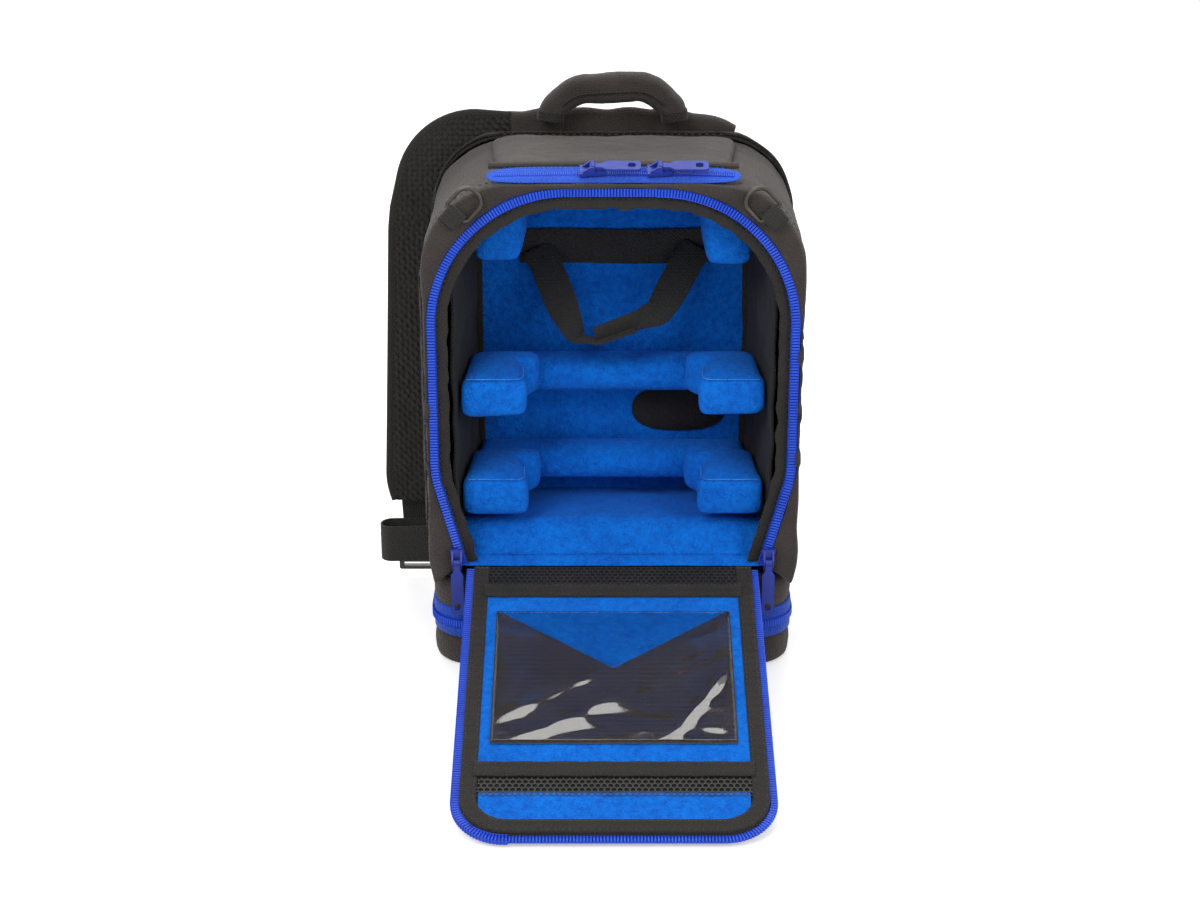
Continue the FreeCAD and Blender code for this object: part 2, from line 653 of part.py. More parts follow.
def rings():
    tabs = []
    for side, sign in (("left", -1), ("right", 1)):
        turn = Rotation(Vector(0, 1, 0), -sign * 43)
        ring = framed(f"{side}_ring", "XZ",
                      box_corners("-ring_width / 2", "ring_width / 2", "-ring_wire / 2",
                                  "ring_height - ring_wire / 2"),
                      box_corners("ring_wire - ring_width / 2", "ring_width / 2 - ring_wire",
                                  "ring_wire / 2", "ring_height - ring_wire * 1.5"),
                      "-ring_wire / 2", "ring_wire", [("ring_width / 2 - 1", (2, 3))],
                      [("ring_width / 2 - ring_wire - 1", (2, 3))])
        tab = slab(f"{side}_tab", "XZ",
                   box_corners("-tab_width / 2", "tab_width / 2", "4 - tab_length", "4"),
                   "-tab_depth / 2 + 0.4", "tab_depth", keep=False)
        cut_through(tab, "YZ", box_corners("-ring_wire / 2 - tab_slot",
                                           "ring_wire / 2 + tab_slot",
                                           "-ring_wire / 2 - tab_slot",
                                           "ring_wire / 2 + tab_slot"))
        tabs.append(tab)
        for piece in (ring, tab):
            piece.Placement.Rotation = turn
            piece.setExpression("Placement.Base.x", bound(f"{sign} * ring_side"))
            piece.setExpression("Placement.Base.y",
                                bound(f"{FRONT} - tab_depth / 2 - 0.4 - 0.05"))
            piece.setExpression("Placement.Base.z", bound("ring_level"))
    group("ring_tabs", tabs)


def carry_handle():
    foot = "handle_foot"
    leg = "handle_leg"
    low = "(handle_pivot - handle_depth / 2)"
    place = f"({BACK} - handle_depth - seat * 2)"
    outline = [(f"-{foot} - 6", low), (f"{foot} + 6", low), (foot, f"{low} + 18"),
               (f"{foot} - 20", "handle_top"), (f"20 - {foot}", "handle_top"),
               (f"-{foot}", f"{low} + 18")]
    gap = [(f"{leg} - {foot}", low), (f"{foot} - {leg}", low),
           (f"{foot} - {leg} - 4", f"{low} + 12"), (f"{foot} - 34", "handle_inner"),
           (f"34 - {foot}", "handle_inner"), (f"{leg} + 4 - {foot}", f"{low} + 12")]
    bow = framed("handle_bow", "XZ", outline, gap, place, "handle_depth",
                 [("14", (2, 5)), ("24", (3, 4))], [("6", (2, 5)), ("12", (3, 4))], keep=False)
    profile = slab("handle_profile", "YZ",
                   box_corners(place, f"{place} + handle_depth", low, "handle_top + 1"),
                   f"-{foot} - 8", "2 * handle_foot + 16",
                   [("handle_depth / 2 - 0.1", (0, 1))], keep=False)
    shared("carry_handle", bow, profile)
    slab("strap_yoke", "XZ", box_corners("-yoke_width / 2", "yoke_width / 2", "yoke_bottom",
                                         "yoke_top"), f"{BACK} + 0.05", "yoke_depth",
         edge="yoke_depth / 3")


def shoulder_strap(side):
    """A curved strap pad, its air mesh facing the bag, and the webbing below it."""
    middle = f"{side}_strap_middle"
    foot = f"{side}_strap_foot"
    half = "strap_width / 2"
    start = "(yoke_width / 2 + seat)" if side == "left" else "(yoke_width / 2 - strap_width)"
    top = "yoke_top"
    if side == "left":
        outline = [(f"-{start}", "yoke_bottom - 6"), (f"-{start}", top),
                   (f"-{middle} - 6", "yoke_top - 8"), (f"-{middle} - {half}", "yoke_bottom - 20"),
                   (f"-{foot} - {half}", "strap_foot"), (f"-{foot} + {half}", "strap_foot"),
                   (f"-{middle} + {half}", "yoke_bottom - 30")]
        rounds = [("strap_width / 3", (2,)), ("strap_width / 4", (4, 5))]
    else:
        outline = [(f"{start}", "yoke_bottom - seat"), (f"{middle} + {half}", "yoke_bottom - seat"),
                   (f"{foot} + {half}", "strap_foot"), (f"{foot} - {half}", "strap_foot")]
        rounds = [("strap_width / 4", (2, 3))]
    face = f"({BACK} + seat * 3)"
    spots = [(face, top), (face, "yoke_bottom - 20"), (f"{face} + strap_bow", "yoke_bottom / 2"),
             (f"{face} + strap_lean", "strap_foot - 1")]
    layers = (("air_mesh", "0", "mesh_depth"), ("pad", "mesh_depth", "strap_depth"))
    for name, start_depth, depth in layers:
        front = [(f"{place} + {start_depth}", level) for place, level in spots]
        back = [(f"{place} + {start_depth} + {depth}", level) for place, level in spots]
        view = slab(f"{side}_{name}_view", "XZ", outline, face,
                    "strap_bow * 2 + strap_depth + mesh_depth", rounds, keep=False)
        profile = slab(f"{side}_{name}_profile", "YZ", front + back[::-1],
                       "-body_width", "2 * body_width", keep=False)
        shared(f"{side}_strap_{name}", view, profile)


def lower_webbing(side, sign):
    """Webbing looped out from the base to a ladder buckle under the strap's foot."""
    foot = f"{side}_strap_foot"
    end = f"{sign} * {side}_loop_end"
    near = f"({BACK} + 0.05)"
    far = f"({BACK} + loop_depth)"
    root = f"{sign} * loop_root"
    back = f"{sign} * ({foot} - tail_width / 2)"
    deep = "webbing_depth"
    path = [(root, near), (end, near), (end, far), (back, far), (back, f"{far} - {deep}"),
            (f"{end} - {sign} * {deep}", f"{far} - {deep}"),
            (f"{end} - {sign} * {deep}", f"{near} + {deep}"), (root, f"{near} + {deep}")]
    slab(f"{side}_lower_webbing", "XY", path, "loop_bottom", "tail_width",
         [("loop_depth / 2 - 0.5", (1, 2)), ("loop_depth / 2 - 0.5 - webbing_depth", (5, 6))])
    tail_face = f"({far} + seat)"
    slab(f"{side}_strap_tail", "XZ",
         box_corners(f"{sign} * {foot} - tail_width / 2", f"{sign} * {foot} + tail_width / 2",
                     "buckle_level + buckle_height", "strap_foot + tail_lap"),
         tail_face, deep)
    buckle = slab(f"{side}_ladder_buckle", "XZ",
                  box_corners(f"{sign} * {foot} - buckle_width / 2",
                              f"{sign} * {foot} + buckle_width / 2",
                              "buckle_level", "buckle_level + buckle_height"),
                  f"{tail_face} - buckle_depth / 2 + {deep} / 2", "buckle_depth",
                  [("2", (0, 1, 2, 3))])
    for level in ("buckle_level + 3", "buckle_level + buckle_height - 3 - slot_height"):
        cut_through(buckle, "XZ",
                    box_corners(f"{sign} * {foot} - tail_width / 2",
                                f"{sign} * {foot} + tail_width / 2",
                                level, f"{level} + slot_height"))


def side_pieces():
    half = "body_width / 2"
    slab("left_side_mesh", "YZ",
         box_corners("-side_mesh_back", "side_mesh_back", "side_mesh_bottom", "side_mesh_top"),
         f"-{half} - side_mesh_depth", "side_mesh_depth", [("12", (0, 1, 2, 3))])
    slab("right_side_tab", "YZ",
         box_corners("-side_tab_place - side_tab_width / 2",
                     "-side_tab_place + side_tab_width / 2", "side_tab_bottom", "side_tab_top"),
         half, "side_tab_depth")


outer_shell()
opening_zip()
base_compartment()
inner_lining()
shelves()
retention_loop()
flap()
sliders()
top_pocket()
rings()
carry_handle()
for hand, direction in (("left", "-1"), ("right", "1")):
    shoulder_strap(hand)
    lower_webbing(hand, direction)
side_pieces()
doc.recompute()

for item in doc.Objects:
    if {"Invalid", "Error"} & set(item.State):
        raise RuntimeError(f"{item.Label} failed: {item.State}")
for piece in PARTS:
    shape = piece.Shape
    if shape.isNull() or not shape.isValid() or shape.Volume <= 0:
        raise RuntimeError(f"{piece.Label} has no valid shape")

os.makedirs("parts", exist_ok=True)
for piece in PARTS:
    piece.Shape.exportStep(f"parts/{piece.Label}.step")
    box = piece.Shape.BoundBox
    print(f"{piece.Label:26s} {len(piece.Shape.Solids)} "
          f"{box.XMin:7.1f} {box.XMax:7.1f} {box.YMin:7.1f} {box.YMax:7.1f} "
          f"{box.ZMin:7.1f} {box.ZMax:7.1f}")
print(len(PARTS), "nodes")
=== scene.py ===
import math

import bmesh
import bpy
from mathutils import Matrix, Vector, noise


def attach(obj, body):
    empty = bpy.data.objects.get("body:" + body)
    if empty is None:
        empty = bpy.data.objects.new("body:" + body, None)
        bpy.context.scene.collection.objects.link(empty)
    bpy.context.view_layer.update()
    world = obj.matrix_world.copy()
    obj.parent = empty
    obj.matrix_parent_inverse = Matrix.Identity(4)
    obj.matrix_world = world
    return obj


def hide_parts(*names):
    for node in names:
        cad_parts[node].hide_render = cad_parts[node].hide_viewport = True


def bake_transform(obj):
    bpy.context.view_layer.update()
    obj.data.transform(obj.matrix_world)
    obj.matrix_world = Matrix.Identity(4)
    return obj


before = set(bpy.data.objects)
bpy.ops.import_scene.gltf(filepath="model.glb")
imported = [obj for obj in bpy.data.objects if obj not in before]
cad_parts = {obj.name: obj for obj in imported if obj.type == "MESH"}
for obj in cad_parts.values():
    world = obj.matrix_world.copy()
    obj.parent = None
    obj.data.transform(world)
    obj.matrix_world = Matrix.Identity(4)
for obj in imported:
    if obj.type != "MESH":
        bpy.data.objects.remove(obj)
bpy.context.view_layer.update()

scene = bpy.context.scene

# ---------------------------------------------------------------- studio
# A white sweep under soft lamps, and the camera a little above the bag,
# looking into its open front.

scene.view_settings.view_transform = "Standard"

lens = bpy.data.cameras.new("camera")
lens.lens = 67.5
lens.sensor_width = 36
camera = bpy.data.objects.new("camera", lens)
camera.location = (-0.0104, -1.7584, 0.8376)
camera.rotation_euler = (math.radians(69), 0, 0)
scene.collection.objects.link(camera)
scene.camera = camera

world = bpy.data.worlds.new("studio")
scene.world = world
world.use_nodes = True
tree = world.node_tree
backdrop = tree.nodes["Background"]
rays = tree.nodes.new("ShaderNodeLightPath")
seen = tree.nodes.new("ShaderNodeMath")
seen.operation = "MAXIMUM"
strength = tree.nodes.new("ShaderNodeMapRange")
strength.inputs["To Min"].default_value = 0.62
strength.inputs["To Max"].default_value = 1.0
tree.links.new(rays.outputs["Is Camera Ray"], seen.inputs[0])
tree.links.new(rays.outputs["Is Glossy Ray"], seen.inputs[1])
tree.links.new(seen.outputs[0], strength.inputs["Value"])
tree.links.new(strength.outputs[0], backdrop.inputs["Strength"])
backdrop.inputs["Color"].default_value = (1, 1, 1, 1)

for name, spot, aim, size, power in (
        ("key", (-1.0, -1.6, 1.9), (0, 0, 0.2), 1.2, 26),
        ("fill", (1.4, -1.5, 1.3), (0, 0, 0.2), 1.2, 12),
        ("top", (0.2, 0.3, 2.2), (0, 0, 0.3), 1.4, 16),
        ("back", (-0.6, 1.8, 1.2), (0, 0, 0.25), 1.2, 12)):
    lamp = bpy.data.lights.new(name, "AREA")
    lamp.size = size
    lamp.energy = power
    light = bpy.data.objects.new(name, lamp)
    light.location = spot
    light.rotation_euler = (Vector(aim) - Vector(spot)).to_track_quat("-Z", "Y").to_euler()
    scene.collection.objects.link(light)

ground = bmesh.new()
bmesh.ops.create_grid(ground, x_segments=1, y_segments=1, size=8)
ground_mesh = bpy.data.meshes.new("floor")
ground.to_mesh(ground_mesh)
floor = bpy.data.objects.new("floor", ground_mesh)
scene.collection.objects.link(floor)
white = bpy.data.materials.new("white_sweep")
white.use_nodes = True
paint = white.node_tree.nodes["Principled BSDF"]
paint.inputs["Base Color"].default_value = (0.86, 0.86, 0.86, 1)
paint.inputs["Roughness"].default_value = 0.7
paint.inputs["Specular IOR Level"].default_value = 0.1
paint.inputs["Emission Color"].default_value = (1, 1, 1, 1)
path_of_ray = white.node_tree.nodes.new("ShaderNodeLightPath")
glow = white.node_tree.nodes.new("ShaderNodeMath")
glow.operation = "MULTIPLY"
glow.inputs[1].default_value = 0.42
white.node_tree.links.new(path_of_ray.outputs["Is Camera Ray"], glow.inputs[0])
white.node_tree.links.new(glow.outputs[0], paint.inputs["Emission Strength"])
floor.data.materials.append(white)


# ---------------------------------------------------------------- base compartment
# The stiff tray that the bag stands on, the zip tape round it and the wall above:
# charcoal twill over foam board, the blue zip sewn between them.

MM = 0.001


def rgb(red, green, blue):
    """A colour given as 0 to 255 display values, as the shader's linear numbers."""
    def linear(value):
        share = value / 255
        return share / 12.92 if share <= 0.04045 else ((share + 0.055) / 1.055) ** 2.4
    return (linear(red), linear(green), linear(blue), 1)


def new_group(name, inputs, outputs):
    """A shader group with its own sockets; inputs are (name, kind, default)."""
    group = bpy.data.node_groups.new(name, "ShaderNodeTree")
    for label, kind, value in inputs:
        made = group.interface.new_socket(label, in_out="INPUT", socket_type=kind)
        made.default_value = value
    for label, kind in outputs:
        group.interface.new_socket(label, in_out="OUTPUT", socket_type=kind)
    return group, group.nodes.new("NodeGroupInput"), group.nodes.new("NodeGroupOutput")


def add_node(tree, kind, **settings):
    node = tree.nodes.new(kind)
    for key, value in settings.items():
        setattr(node, key, value)
    return node


def mottled(tree, place, scale, detail=3.0):
    """A soft noise over the surface, and its output socket."""
    node = add_node(tree, "ShaderNodeTexNoise")
    node.inputs["Scale"].default_value = scale
    node.inputs["Detail"].default_value = detail
    tree.links.new(place, node.inputs["Vector"])
    return node.outputs["Fac"]


def math_node(tree, operation, first, second):
    node = add_node(tree, "ShaderNodeMath", operation=operation)
    for socket, value in zip(node.inputs, (first, second)):
        if isinstance(value, (int, float)):
            socket.default_value = value
        else:
            tree.links.new(value, socket)
    return node.outputs[0]


def cloth_group(name, threads, grain, patches, fold):
    """Cloth: a thread pattern, a fine grain, broad worn patches and soft folds."""
    group, sent, out = new_group(
        name,
        [("Dark", "NodeSocketColor", (0, 0, 0, 1)), ("Light", "NodeSocketColor", (1, 1, 1, 1)),
         ("Depth", "NodeSocketFloat", 1.0)],
        [("Color", "NodeSocketColor"), ("Normal", "NodeSocketVector"),
         ("Roughness", "NodeSocketFloat")])
    place = add_node(group, "ShaderNodeTexCoord").outputs["Object"]
    fine = mottled(group, place, grain)
    broad = mottled(group, place, patches)
    folds = mottled(group, place, fold, 1.0)
    height = fine
    if threads:
        cells = add_node(group, "ShaderNodeTexVoronoi", feature="F1")
        cells.inputs["Scale"].default_value = threads
        cells.inputs["Randomness"].default_value = 0.35
        group.links.new(place, cells.inputs["Vector"])
        twill = add_node(group, "ShaderNodeTexWave", wave_type="BANDS",
                         bands_direction="DIAGONAL")
        twill.inputs["Scale"].default_value = threads / 2.6
        twill.inputs["Distortion"].default_value = 0.6
        group.links.new(place, twill.inputs["Vector"])
        cell = math_node(group, "SUBTRACT", 1.0, cells.outputs["Distance"])
        height = math_node(group, "MULTIPLY", cell,
                           math_node(group, "ADD", 0.6, twill.outputs["Fac"]))
    tone = math_node(group, "ADD", math_node(group, "MULTIPLY", fine, 0.55),
                     math_node(group, "MULTIPLY", broad, 0.6))
    if threads:
        tone = math_node(group, "ADD", tone,
                         math_node(group, "MULTIPLY",
                                   math_node(group, "SUBTRACT", height, 0.7), 0.3))
    mix = add_node(group, "ShaderNodeMix", data_type="RGBA")
    group.links.new(math_node(group, "SUBTRACT", tone, 0.08), mix.inputs["Factor"])
    group.links.new(sent.outputs["Dark"], mix.inputs["A"])
    group.links.new(sent.outputs["Light"], mix.inputs["B"])
    group.links.new(mix.outputs["Result"], out.inputs["Color"])
    small = add_node(group, "ShaderNodeBump")
    group.links.new(math_node(group, "MULTIPLY", sent.outputs["Depth"], MM),
                    small.inputs["Distance"])
    group.links.new(height, small.inputs["Height"])
    large = add_node(group, "ShaderNodeBump")
    large.inputs["Distance"].default_value = 4 * MM
    large.inputs["Strength"].default_value = 0.45
    group.links.new(folds, large.inputs["Height"])
    group.links.new(large.outputs["Normal"], small.inputs["Normal"])
    group.links.new(small.outputs["Normal"], out.inputs["Normal"])
    group.links.new(math_node(group, "ADD", 0.72, math_node(group, "MULTIPLY", broad, 0.2)),
                    out.inputs["Roughness"])
    return group


def new_material(name):
    """A material with its node tree and the shader in it."""
    material = bpy.data.materials.new(name)
    material.use_nodes = True
    return material, material.node_tree, material.node_tree.nodes["Principled BSDF"]


def cloth(name, group, dark, light, depth=1.0, sheen=0.0, specular=0.3):
    """A material for one finish, from a cloth group and its two colours."""
    material, tree, shader = new_material(name)
    used = add_node(tree, "ShaderNodeGroup", node_tree=group)
    used.inputs["Dark"].default_value = rgb(*dark)
    used.inputs["Light"].default_value = rgb(*light)
    used.inputs["Depth"].default_value = depth
    tree.links.new(used.outputs["Color"], shader.inputs["Base Color"])
    tree.links.new(used.outputs["Normal"], shader.inputs["Normal"])
    tree.links.new(used.outputs["Roughness"], shader.inputs["Roughness"])
    shader.inputs["Sheen Weight"].default_value = sheen
    shader.inputs["Sheen Roughness"].default_value = 0.4
    shader.inputs["Specular IOR Level"].default_value = specular
    return material


twill_group = cloth_group("twill", 700, 900, 28, 16)
webbing_group = cloth_group("webbing", 480, 700, 40, 20)
knit_group = cloth_group("knit", 620, 900, 60, 25)
outer_fabric = cloth("outer_fabric", twill_group, (30, 26, 24), (76, 68, 63), 0.7, 0.15)
black_binding = cloth("black_binding", webbing_group, (14, 13, 12), (52, 49, 44), 0.5, 0.1)
black_webbing = cloth("black_webbing", webbing_group, (10, 10, 10), (46, 44, 41), 0.8, 0.05, 0.5)
blue_tape = cloth("blue_tape", webbing_group, (10, 38, 128), (32, 88, 206), 0.5, 0.2)


def rounded_path(corners, step=3.0, closed=False):
    """Points along a line of (place, round) corners in a plane, each corner an arc."""
    places = [Vector(corner[0]) for corner in corners]
    count = len(places)
    marks = []
    for index, (place, radius) in enumerate(corners):
        here = Vector(place)
        if radius == 0 or (not closed and index in (0, count - 1)):
            marks.append(here)
            continue
        into = (places[index - 1] - here).normalized()
        away = (places[(index + 1) % count] - here).normalized()
        half = into.angle(away) / 2
        reach = radius / math.tan(half)
        centre = here + (into + away).normalized() * radius / math.sin(half)
        first = here + into * reach - centre
        last = here + away * reach - centre
        turn = first.angle(last)
        pieces = max(4, int(radius * turn / step))
        for part in range(pieces + 1):
            share = part / pieces
            arm = (first * math.sin((1 - share) * turn) + last * math.sin(share * turn)) \
                / math.sin(turn)
            marks.append(centre + arm)
    if closed:
        marks.append(marks[0].copy())
    return marks


def spaced(marks, count):
    """The same line, as count points evenly spaced from its first to its last."""
    lengths = [0.0]
    for before, after in zip(marks, marks[1:]):
        lengths.append(lengths[-1] + (after - before).length)
    made = []
    index = 0
    for part in range(count):
        goal = lengths[-1] * part / (count - 1)
        while index < len(marks) - 2 and lengths[index + 1] < goal:
            index += 1
        span = lengths[index + 1] - lengths[index]
        share = 0 if span == 0 else (goal - lengths[index]) / span
        made.append(marks[index].lerp(marks[index + 1], min(1, share)))
    return made


def line_length(marks):
    return sum((after - before).length for before, after in zip(marks, marks[1:]))


def heading(marks, index):
    """The direction of a line at one of its points, from the points beside it."""
    return (marks[min(index + 1, len(marks) - 1)] - marks[max(index - 1, 0)]).normalized()


def loft(rings, closed=True, capped=False):
    """A skin drawn through rings of equal count; the rings are in millimetres."""
    skin = bmesh.new()
    row = [skin.verts.new(Vector(point) * MM) for point in rings[0]]
    links = list(zip(row, row[1:] + row[:1])) if closed else list(zip(row, row[1:]))
    edges = [skin.edges.new(link) for link in links]
    first = list(edges)
    for ring in rings[1:]:
        made = bmesh.ops.extrude_edge_only(skin, edges=edges)["geom"]
        edges = [item for item in made if isinstance(item, bmesh.types.BMEdge)]
        fresh = {item for item in made if isinstance(item, bmesh.types.BMVert)}
        row = [next(edge.other_vert(vertex) for edge in vertex.link_edges
                    if edge.other_vert(vertex) in fresh) for vertex in row]
        for vertex, point in zip(row, ring):
            vertex.co = Vector(point) * MM
    if capped:
        for rim in (first, edges):
            bmesh.ops.edgenet_fill(skin, edges=rim)
    return skin


def ruffle(skin, amount, size, seed=0.0):
    """Push every point a little in or out by a slow noise, as soft cloth lies."""
    skin.normal_update()
    for vertex in skin.verts:
        place = vertex.co / (size * MM) + Vector((seed, seed * 2, seed * 3))
        vertex.co += vertex.normal * noise.noise(place) * amount * MM


def piece(name, skin, body, material, nodes=(), smooth=True, merge=0.02):
    """Make a finished mesh a piece that rides on its body and stands for its nodes; a piece whose
    body is a tuple is only baked in place and rides on none."""
    bmesh.ops.remove_doubles(skin, verts=skin.verts, dist=merge * MM)
    bmesh.ops.recalc_face_normals(skin, faces=skin.faces)
    name = f"{name}_cover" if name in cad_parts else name
    mesh = bpy.data.meshes.new(name)
    skin.to_mesh(mesh)
    skin.free()
    mesh.materials.append(material)
    if smooth:
        mesh.shade_smooth()
    made = bpy.data.objects.new(name, mesh)
    scene.collection.objects.link(made)
    if isinstance(body, tuple):
        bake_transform(made)
    else:
        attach(made, body)
    if nodes:
        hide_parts(*nodes)
    return made


def thicken(made, depth, offset=-1.0):
    wall = made.modifiers.new("thickness", "SOLIDIFY")
    wall.thickness = depth * MM
    wall.offset = offset
    return made


def ribbon(marks, sides, width, depth, edge=0.8, rows=2):
    """A flat band swept along marks; sides gives the across direction at each mark.
    width and depth are numbers, or one value for each mark."""
    rings = []
    for index, mark in enumerate(marks):
        along = heading(marks, index)
        side = sides[index] if isinstance(sides, list) else Vector(sides)
        side = (side - along * side.dot(along)).normalized()
        up = along.cross(side)
        wide = (width[index] if isinstance(width, list) else width) / 2
        thick = (depth[index] if isinstance(depth, list) else depth) / 2
        ease = min(edge, wide * 0.9)
        section = [(-wide, 0), (-wide + ease * 0.3, thick * 0.7), (-wide + ease, thick)]
        section += [(-wide + ease + (2 * wide - 2 * ease) * part / (rows + 1), thick)
                    for part in range(1, rows + 1)]
        section += [(wide - ease, thick), (wide - ease * 0.3, thick * 0.7), (wide, 0)]
        section += [(across, -rise) for across, rise in section[-2:0:-1]]
        rings.append([mark + side * across + up * rise for across, rise in section])
    return loft(rings, closed=True, capped=True)


def base_ring(half_x, half_y, radius, level, count=128):
    """The base's rounded outline at one height, round from the middle of the back."""
    corners = [((0, half_y, level), 0), ((half_x, half_y, level), radius),
               ((half_x, -half_y, level), radius), ((-half_x, -half_y, level), radius),
               ((-half_x, half_y, level), radius)]
    return spaced(rounded_path(corners, closed=True), count + 1)[:-1]


base_half_x, base_half_y, base_round, zip_level = 148, 78, 32, 39
tray_steps = [(9, 0), (4, 0.3), (1.5, 2.5), (0.2, 7), (-0.6, 14), (-0.2, 20), (1.4, 25),
              (3.5, 26.5)]
tray = loft([base_ring(base_half_x - inset, base_half_y - inset, base_round - inset, level)
             for inset, level in tray_steps], capped=True)
ruffle(tray, 0.8, 28)
piece("base_tray", tray, "bag", outer_fabric, ["base_tray"])

wall_steps = [(2.5, 50.5), (0.6, 53), (-0.4, 60), (-0.2, 68), (0.8, 74), (3.2, 76.4), (8, 77)]
wall = loft([base_ring(base_half_x - inset, base_half_y - inset * 0.6,
                       base_round - inset * 0.5, level)
             for inset, level in wall_steps], capped=True)
ruffle(wall, 0.9, 24, 3)
piece("base_upper_wall", wall, "bag", outer_fabric, ["base_upper_wall"])


def part_of_ring(half_x, half_y, radius, level, back):
    """The base outline from the back left corner round the front to the back right."""
    corners = [((-half_x, back, level), 0), ((-half_x, -half_y, level), radius),
               ((half_x, -half_y, level), radius), ((half_x, back, level), 0)]
    return rounded_path(corners, 2.0)


tape_line = spaced(part_of_ring(147.4, 77.4, base_round, zip_level, 45), 150)
base_tape = ribbon(tape_line, (0, 0, 1), 25.6, 2.6, rows=3)
piece("base_zip_tape", base_tape, "bag", blue_tape, ["base_zip"])
base_band = ribbon(spaced(rounded_path(
    [((-147, 45, zip_level), 0), ((-147, 76.6, zip_level), 30),
     ((147, 76.6, zip_level), 30), ((147, 45, zip_level), 0)]), 80),
    (0, 0, 1), 27, 2.4, rows=3)
piece("base_back_band", base_band, "bag", outer_fabric)


def zip_teeth(marks, ups, width, height, pitch=2.4, fill=0.72):
    """One woven-in coil: rounded turns set across the line, each a small bead."""
    total = line_length(marks)
    count = max(2, int(total / pitch))
    spots = spaced(marks, count)
    coil = bmesh.new()
    for index, spot in enumerate(spots):
        along = heading(spots, index)
        up = (ups(spot) if callable(ups) else Vector(ups)).normalized()
        side = along.cross(up).normalized()
        bead = bmesh.ops.create_cube(coil, size=1.0)["verts"]
        faces = list({face for vertex in bead for face in vertex.link_faces})
        edges = list({edge for face in faces for edge in face.edges})
        for vertex in bead:
            across, run, rise = vertex.co
            vertex.co = (spot + side * across * width + along * run * pitch * fill
                         + up * rise * height) * MM
        bmesh.ops.bevel(coil, geom=edges, offset=min(height, pitch * fill) * 0.3 * MM,
                        offset_type="OFFSET", affect="EDGES", segments=1, profile=0.5,
                        material=-1)
    return coil


def glossy(name, dark, light, rough, grain=300, bump=0.15, metal=0.0):
    """A moulded or cast finish: slight colour drift and a fine surface grain."""
    material, tree, shader = new_material(name)
    place = add_node(tree, "ShaderNodeTexCoord").outputs["Object"]
    fine = mottled(tree, place, grain)
    broad = mottled(tree, place, grain / 8)
    mix = add_node(tree, "ShaderNodeMix", data_type="RGBA")
    mix.inputs["A"].default_value = rgb(*dark)
    mix.inputs["B"].default_value = rgb(*light)
    tree.links.new(broad, mix.inputs["Factor"])
    tree.links.new(mix.outputs["Result"], shader.inputs["Base Color"])
    tree.links.new(math_node(tree, "ADD", rough - 0.1, math_node(tree, "MULTIPLY", fine, 0.2)),
                   shader.inputs["Roughness"])
    relief = add_node(tree, "ShaderNodeBump")
    relief.inputs["Distance"].default_value = bump * MM
    tree.links.new(fine, relief.inputs["Height"])
    tree.links.new(relief.outputs["Normal"], shader.inputs["Normal"])
    shader.inputs["Metallic"].default_value = metal
    return material


blue_coil = glossy("blue_coil", (14, 54, 182), (34, 90, 226), 0.38)
blue_puller = glossy("blue_puller", (16, 34, 120), (30, 56, 164), 0.45, bump=0.1)


coil_half_x, coil_half_y, coil_round = 149.4, 79.4, 33
straight_x, straight_y, front_face = 116, -46, -70


def out_of_base(spot):
    """Level and outward at a point of the base coil, turning with its two corners."""
    if abs(spot.x) > straight_x and spot.y < straight_y:
        return Vector((spot.x / coil_half_x, spot.y / coil_half_y, 0))
    return Vector((0, -1, 0)) if spot.y < front_face else Vector((spot.x, 0, 0))


coil_line = part_of_ring(coil_half_x, coil_half_y, coil_round, zip_level, 44)
piece("base_zip_coil", zip_teeth(coil_line, out_of_base, 6, 1.8, 2.2), "bag", blue_coil,
      smooth=False)


# ---------------------------------------------------------------- outer shell
# One padded skin from the zip's edge over the sides to the back, cut from the
# twill and sewn with turned seams, so that it bulges and sags a little.

def opening_line(out=0.0, level=-78.0, step=2.5):
    """The zip's path up one side, over the top and down the other, moved outward."""
    corners = [((-119, level, 93), 0), ((-140, level, 170), 80), ((-140, level, 400), 105),
               ((140, level, 400), 105), ((140, level, 170), 80), ((119, level, 93), 0)]
    marks = rounded_path(corners, step)
    moved = []
    for index, mark in enumerate(marks):
        moved.append(mark + Vector((0, -1, 0)).cross(heading(marks, index)) * out)
    return moved


def shell_line(half, top, corner, bottom, level, step=3.0):
    """The shell's arch at one depth, from its left foot to its right foot."""
    return rounded_path([((-half, level, bottom), 0), ((-half, level, top), corner),
                         ((half, level, top), corner), ((half, level, bottom), 0)], step)


arch_points = 200
shell_rings = [spaced(opening_line(6.0, -70), arch_points),
               spaced(opening_line(6.6, -76.5), arch_points),
               spaced(opening_line(7.6, -78), arch_points)]
for half, top, corner, level in (
        (148.2, 408.6, 72, -78.2), (149.6, 409.6, 71, -75), (150, 410, 70, -69),
        (149.6, 409.8, 70, -58), (149.8, 410, 70, -35), (150.2, 410, 70, -10),
        (150.4, 410, 69, 20), (150, 411, 68, 45), (149.4, 412.5, 66, 60),
        (148.6, 411.5, 64, 68)):
    shell_rings.append(spaced(shell_line(half, top, corner, 76, level), arch_points))
shell = loft(shell_rings, closed=False)
for vertex in shell.verts:
    tuck = max(0.0, (104 * MM - vertex.co.z) / (28 * MM))
    vertex.co.x *= 1 - 0.024 * tuck ** 2
for _ in range(2):
    long_edges = [edge for edge in shell.edges
                  if abs(edge.verts[0].co.y - edge.verts[1].co.y) > 6 * MM]
    bmesh.ops.subdivide_edges(shell, edges=long_edges, cuts=1, use_grid_fill=True)
ruffle(shell, 2.0, 34, 1)
ruffle(shell, 0.7, 11, 4)
for vertex in shell.verts:
    vertex.co.y = max(vertex.co.y, -78.3 * MM)
thicken(piece("outer_shell", shell, "bag", outer_fabric,
              ["side_panels", "corner_gussets", "top_panel", "front_surround"]), 2.4)


